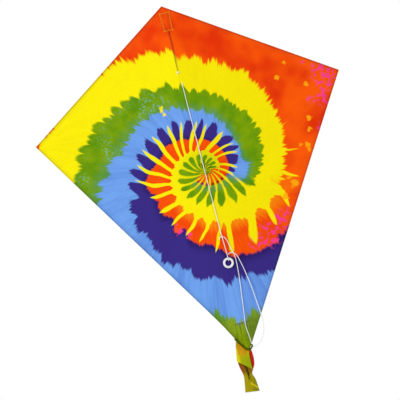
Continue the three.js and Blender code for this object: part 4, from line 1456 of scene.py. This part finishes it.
def tail_tab():
    """The doubled strip of tape on the tail pocket that the tie goes through."""
    low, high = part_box("tail_tab")
    y, z = np.meshgrid(np.linspace(low.y, high.y, 30), np.linspace(low.z, high.z, 50))
    from_fold = np.clip((high.y - y) / (0.6 * MM), 0, 1)
    half = 0.5 * MM * np.sqrt(from_fold * (2 - from_fold)) + 0.02 * MM
    middle = (low.x + high.x) / 2 + 0.09 * MM * np.sin(z / (1.1 * MM)) * np.sin(y / (0.7 * MM) + 1)
    front, back = (np.stack([middle + offset, y, z], axis=-1) for offset in (-half, half))
    piece = thin_sheet("tail_tab_tape", front, back, np.stack([y, z], axis=-1), [CLOTH_POCKET_SHADED])
    fit(piece, "spine", "pocket_cloth", "tail_tab")


def tail_tie():
    """Three tight turns of thin line that hold the tail to the tab."""
    low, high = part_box("tail_tie")
    t = np.linspace(0, 6 * math.pi, 160)
    r = (high.x - low.x) / 2 - 0.42 * MM - 0.12 * MM * np.cos(t / 3)
    turns = np.stack([r * np.cos(t), (t / (6 * math.pi) - 0.5) * 1.2 * MM, r * np.sin(t)], axis=1)
    path = turns + np.array((low + high) / 2)
    piece = tube("tail_tie_turns", path, 0.4 * MM, 10, [LINE], strands=2, lay=2.4 * MM)
    fit(piece, "tail_tie", "bridle_line", "tail_tie")


def flap_folds(s):
    """The depth of the flap's folds, s being 0 at its top and 1 at its bottom."""
    return 0.8 * MM * np.sin(math.pi * np.clip(s * 1.2, 0, 1)) ** 2


def lining_folds(s):
    return 0.6 * MM + 1.3 * MM * np.exp(-(((s - 0.64) / 0.12) ** 2))


def make_tail():
    tail_tab()
    tail_tie()
    flap = lofted_strip("tail_flap", FLAP_LEFT, FLAP_RIGHT, 2.4, flap_folds, lambda x, z: 0.0, TAIL_CLOTH)
    lining = lofted_strip(
        "tail_strip", LINING_LEFT, LINING_RIGHT, 3.4, lining_folds, crease_depth, TAIL_LINING, rows=200
    )
    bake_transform(flap)
    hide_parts("tail_streamer_front")
    fit(lining, "tail", "tail_cloth", "tail_streamer_back")


make_tail()




# ---- Floor and light ----
FLOOR_EDGE = ((1.4, -1.062), (1.4, -1.052), (1.396, -1.05))    # radius and level, from below
FLOOR_SIDES = 96
AMBIENT = 0.5
KEY_POWER = 66
FILL_POWER = 20
REAR_POWER = 30


def make_floor():
    """A round slab with a small chamfer."""
    vertices = [(r * math.cos(a), r * math.sin(a), z) for r, z in FLOOR_EDGE for a in full_turn(FLOOR_SIDES)]
    faces = loop_faces(len(FLOOR_EDGE), FLOOR_SIDES).tolist()
    faces += [range(FLOOR_SIDES), range(2 * FLOOR_SIDES, 3 * FLOOR_SIDES)]
    new_object("floor", vertices, faces, [pale_floor()], smooth=False)


def area_light(name, place, target, size, power):
    light = bpy.data.objects.new(name, bpy.data.lights.new(name, "AREA"))
    light.data.size, light.data.energy = size, power
    light.visible_camera = False
    light.matrix_world = Matrix.Translation(place) @ (
        (Vector(place) - Vector(target)).to_track_quat("Z", "Y").to_matrix().to_4x4()
    )
    bpy.context.scene.collection.objects.link(light)


def make_light():
    """A pure white surround for the camera, an even soft ambient, and soft lights in front and behind."""
    world = bpy.data.worlds.new("surround")
    bpy.context.scene.world = world
    world.use_nodes = True
    tree = world.node_tree
    tree.nodes.clear()
    path = tree.nodes.new("ShaderNodeLightPath")
    choose = tree.nodes.new("ShaderNodeMixShader")
    output = tree.nodes.new("ShaderNodeOutputWorld")
    tree.links.new(path.outputs["Is Camera Ray"], choose.inputs[0])
    for port, strength in ((1, AMBIENT), (2, 1.0)):
        light = tree.nodes.new("ShaderNodeBackground")
        light.inputs["Color"].default_value = (1, 1, 1, 1)
        light.inputs["Strength"].default_value = strength
        tree.links.new(light.outputs[0], choose.inputs[port])
    tree.links.new(choose.outputs[0], output.inputs["Surface"])
    middle = (0, 0, -0.2)
    area_light("key", (-2.0, -3.0, 1.2), middle, 1.6, KEY_POWER)
    area_light("fill", (2.4, -2.6, 0.4), middle, 2.0, FILL_POWER)
    area_light("rear", (0.8, 3.2, 1.4), middle, 2.0, REAR_POWER)


make_floor()
make_light()
bpy.context.scene.view_settings.view_transform = "Standard"
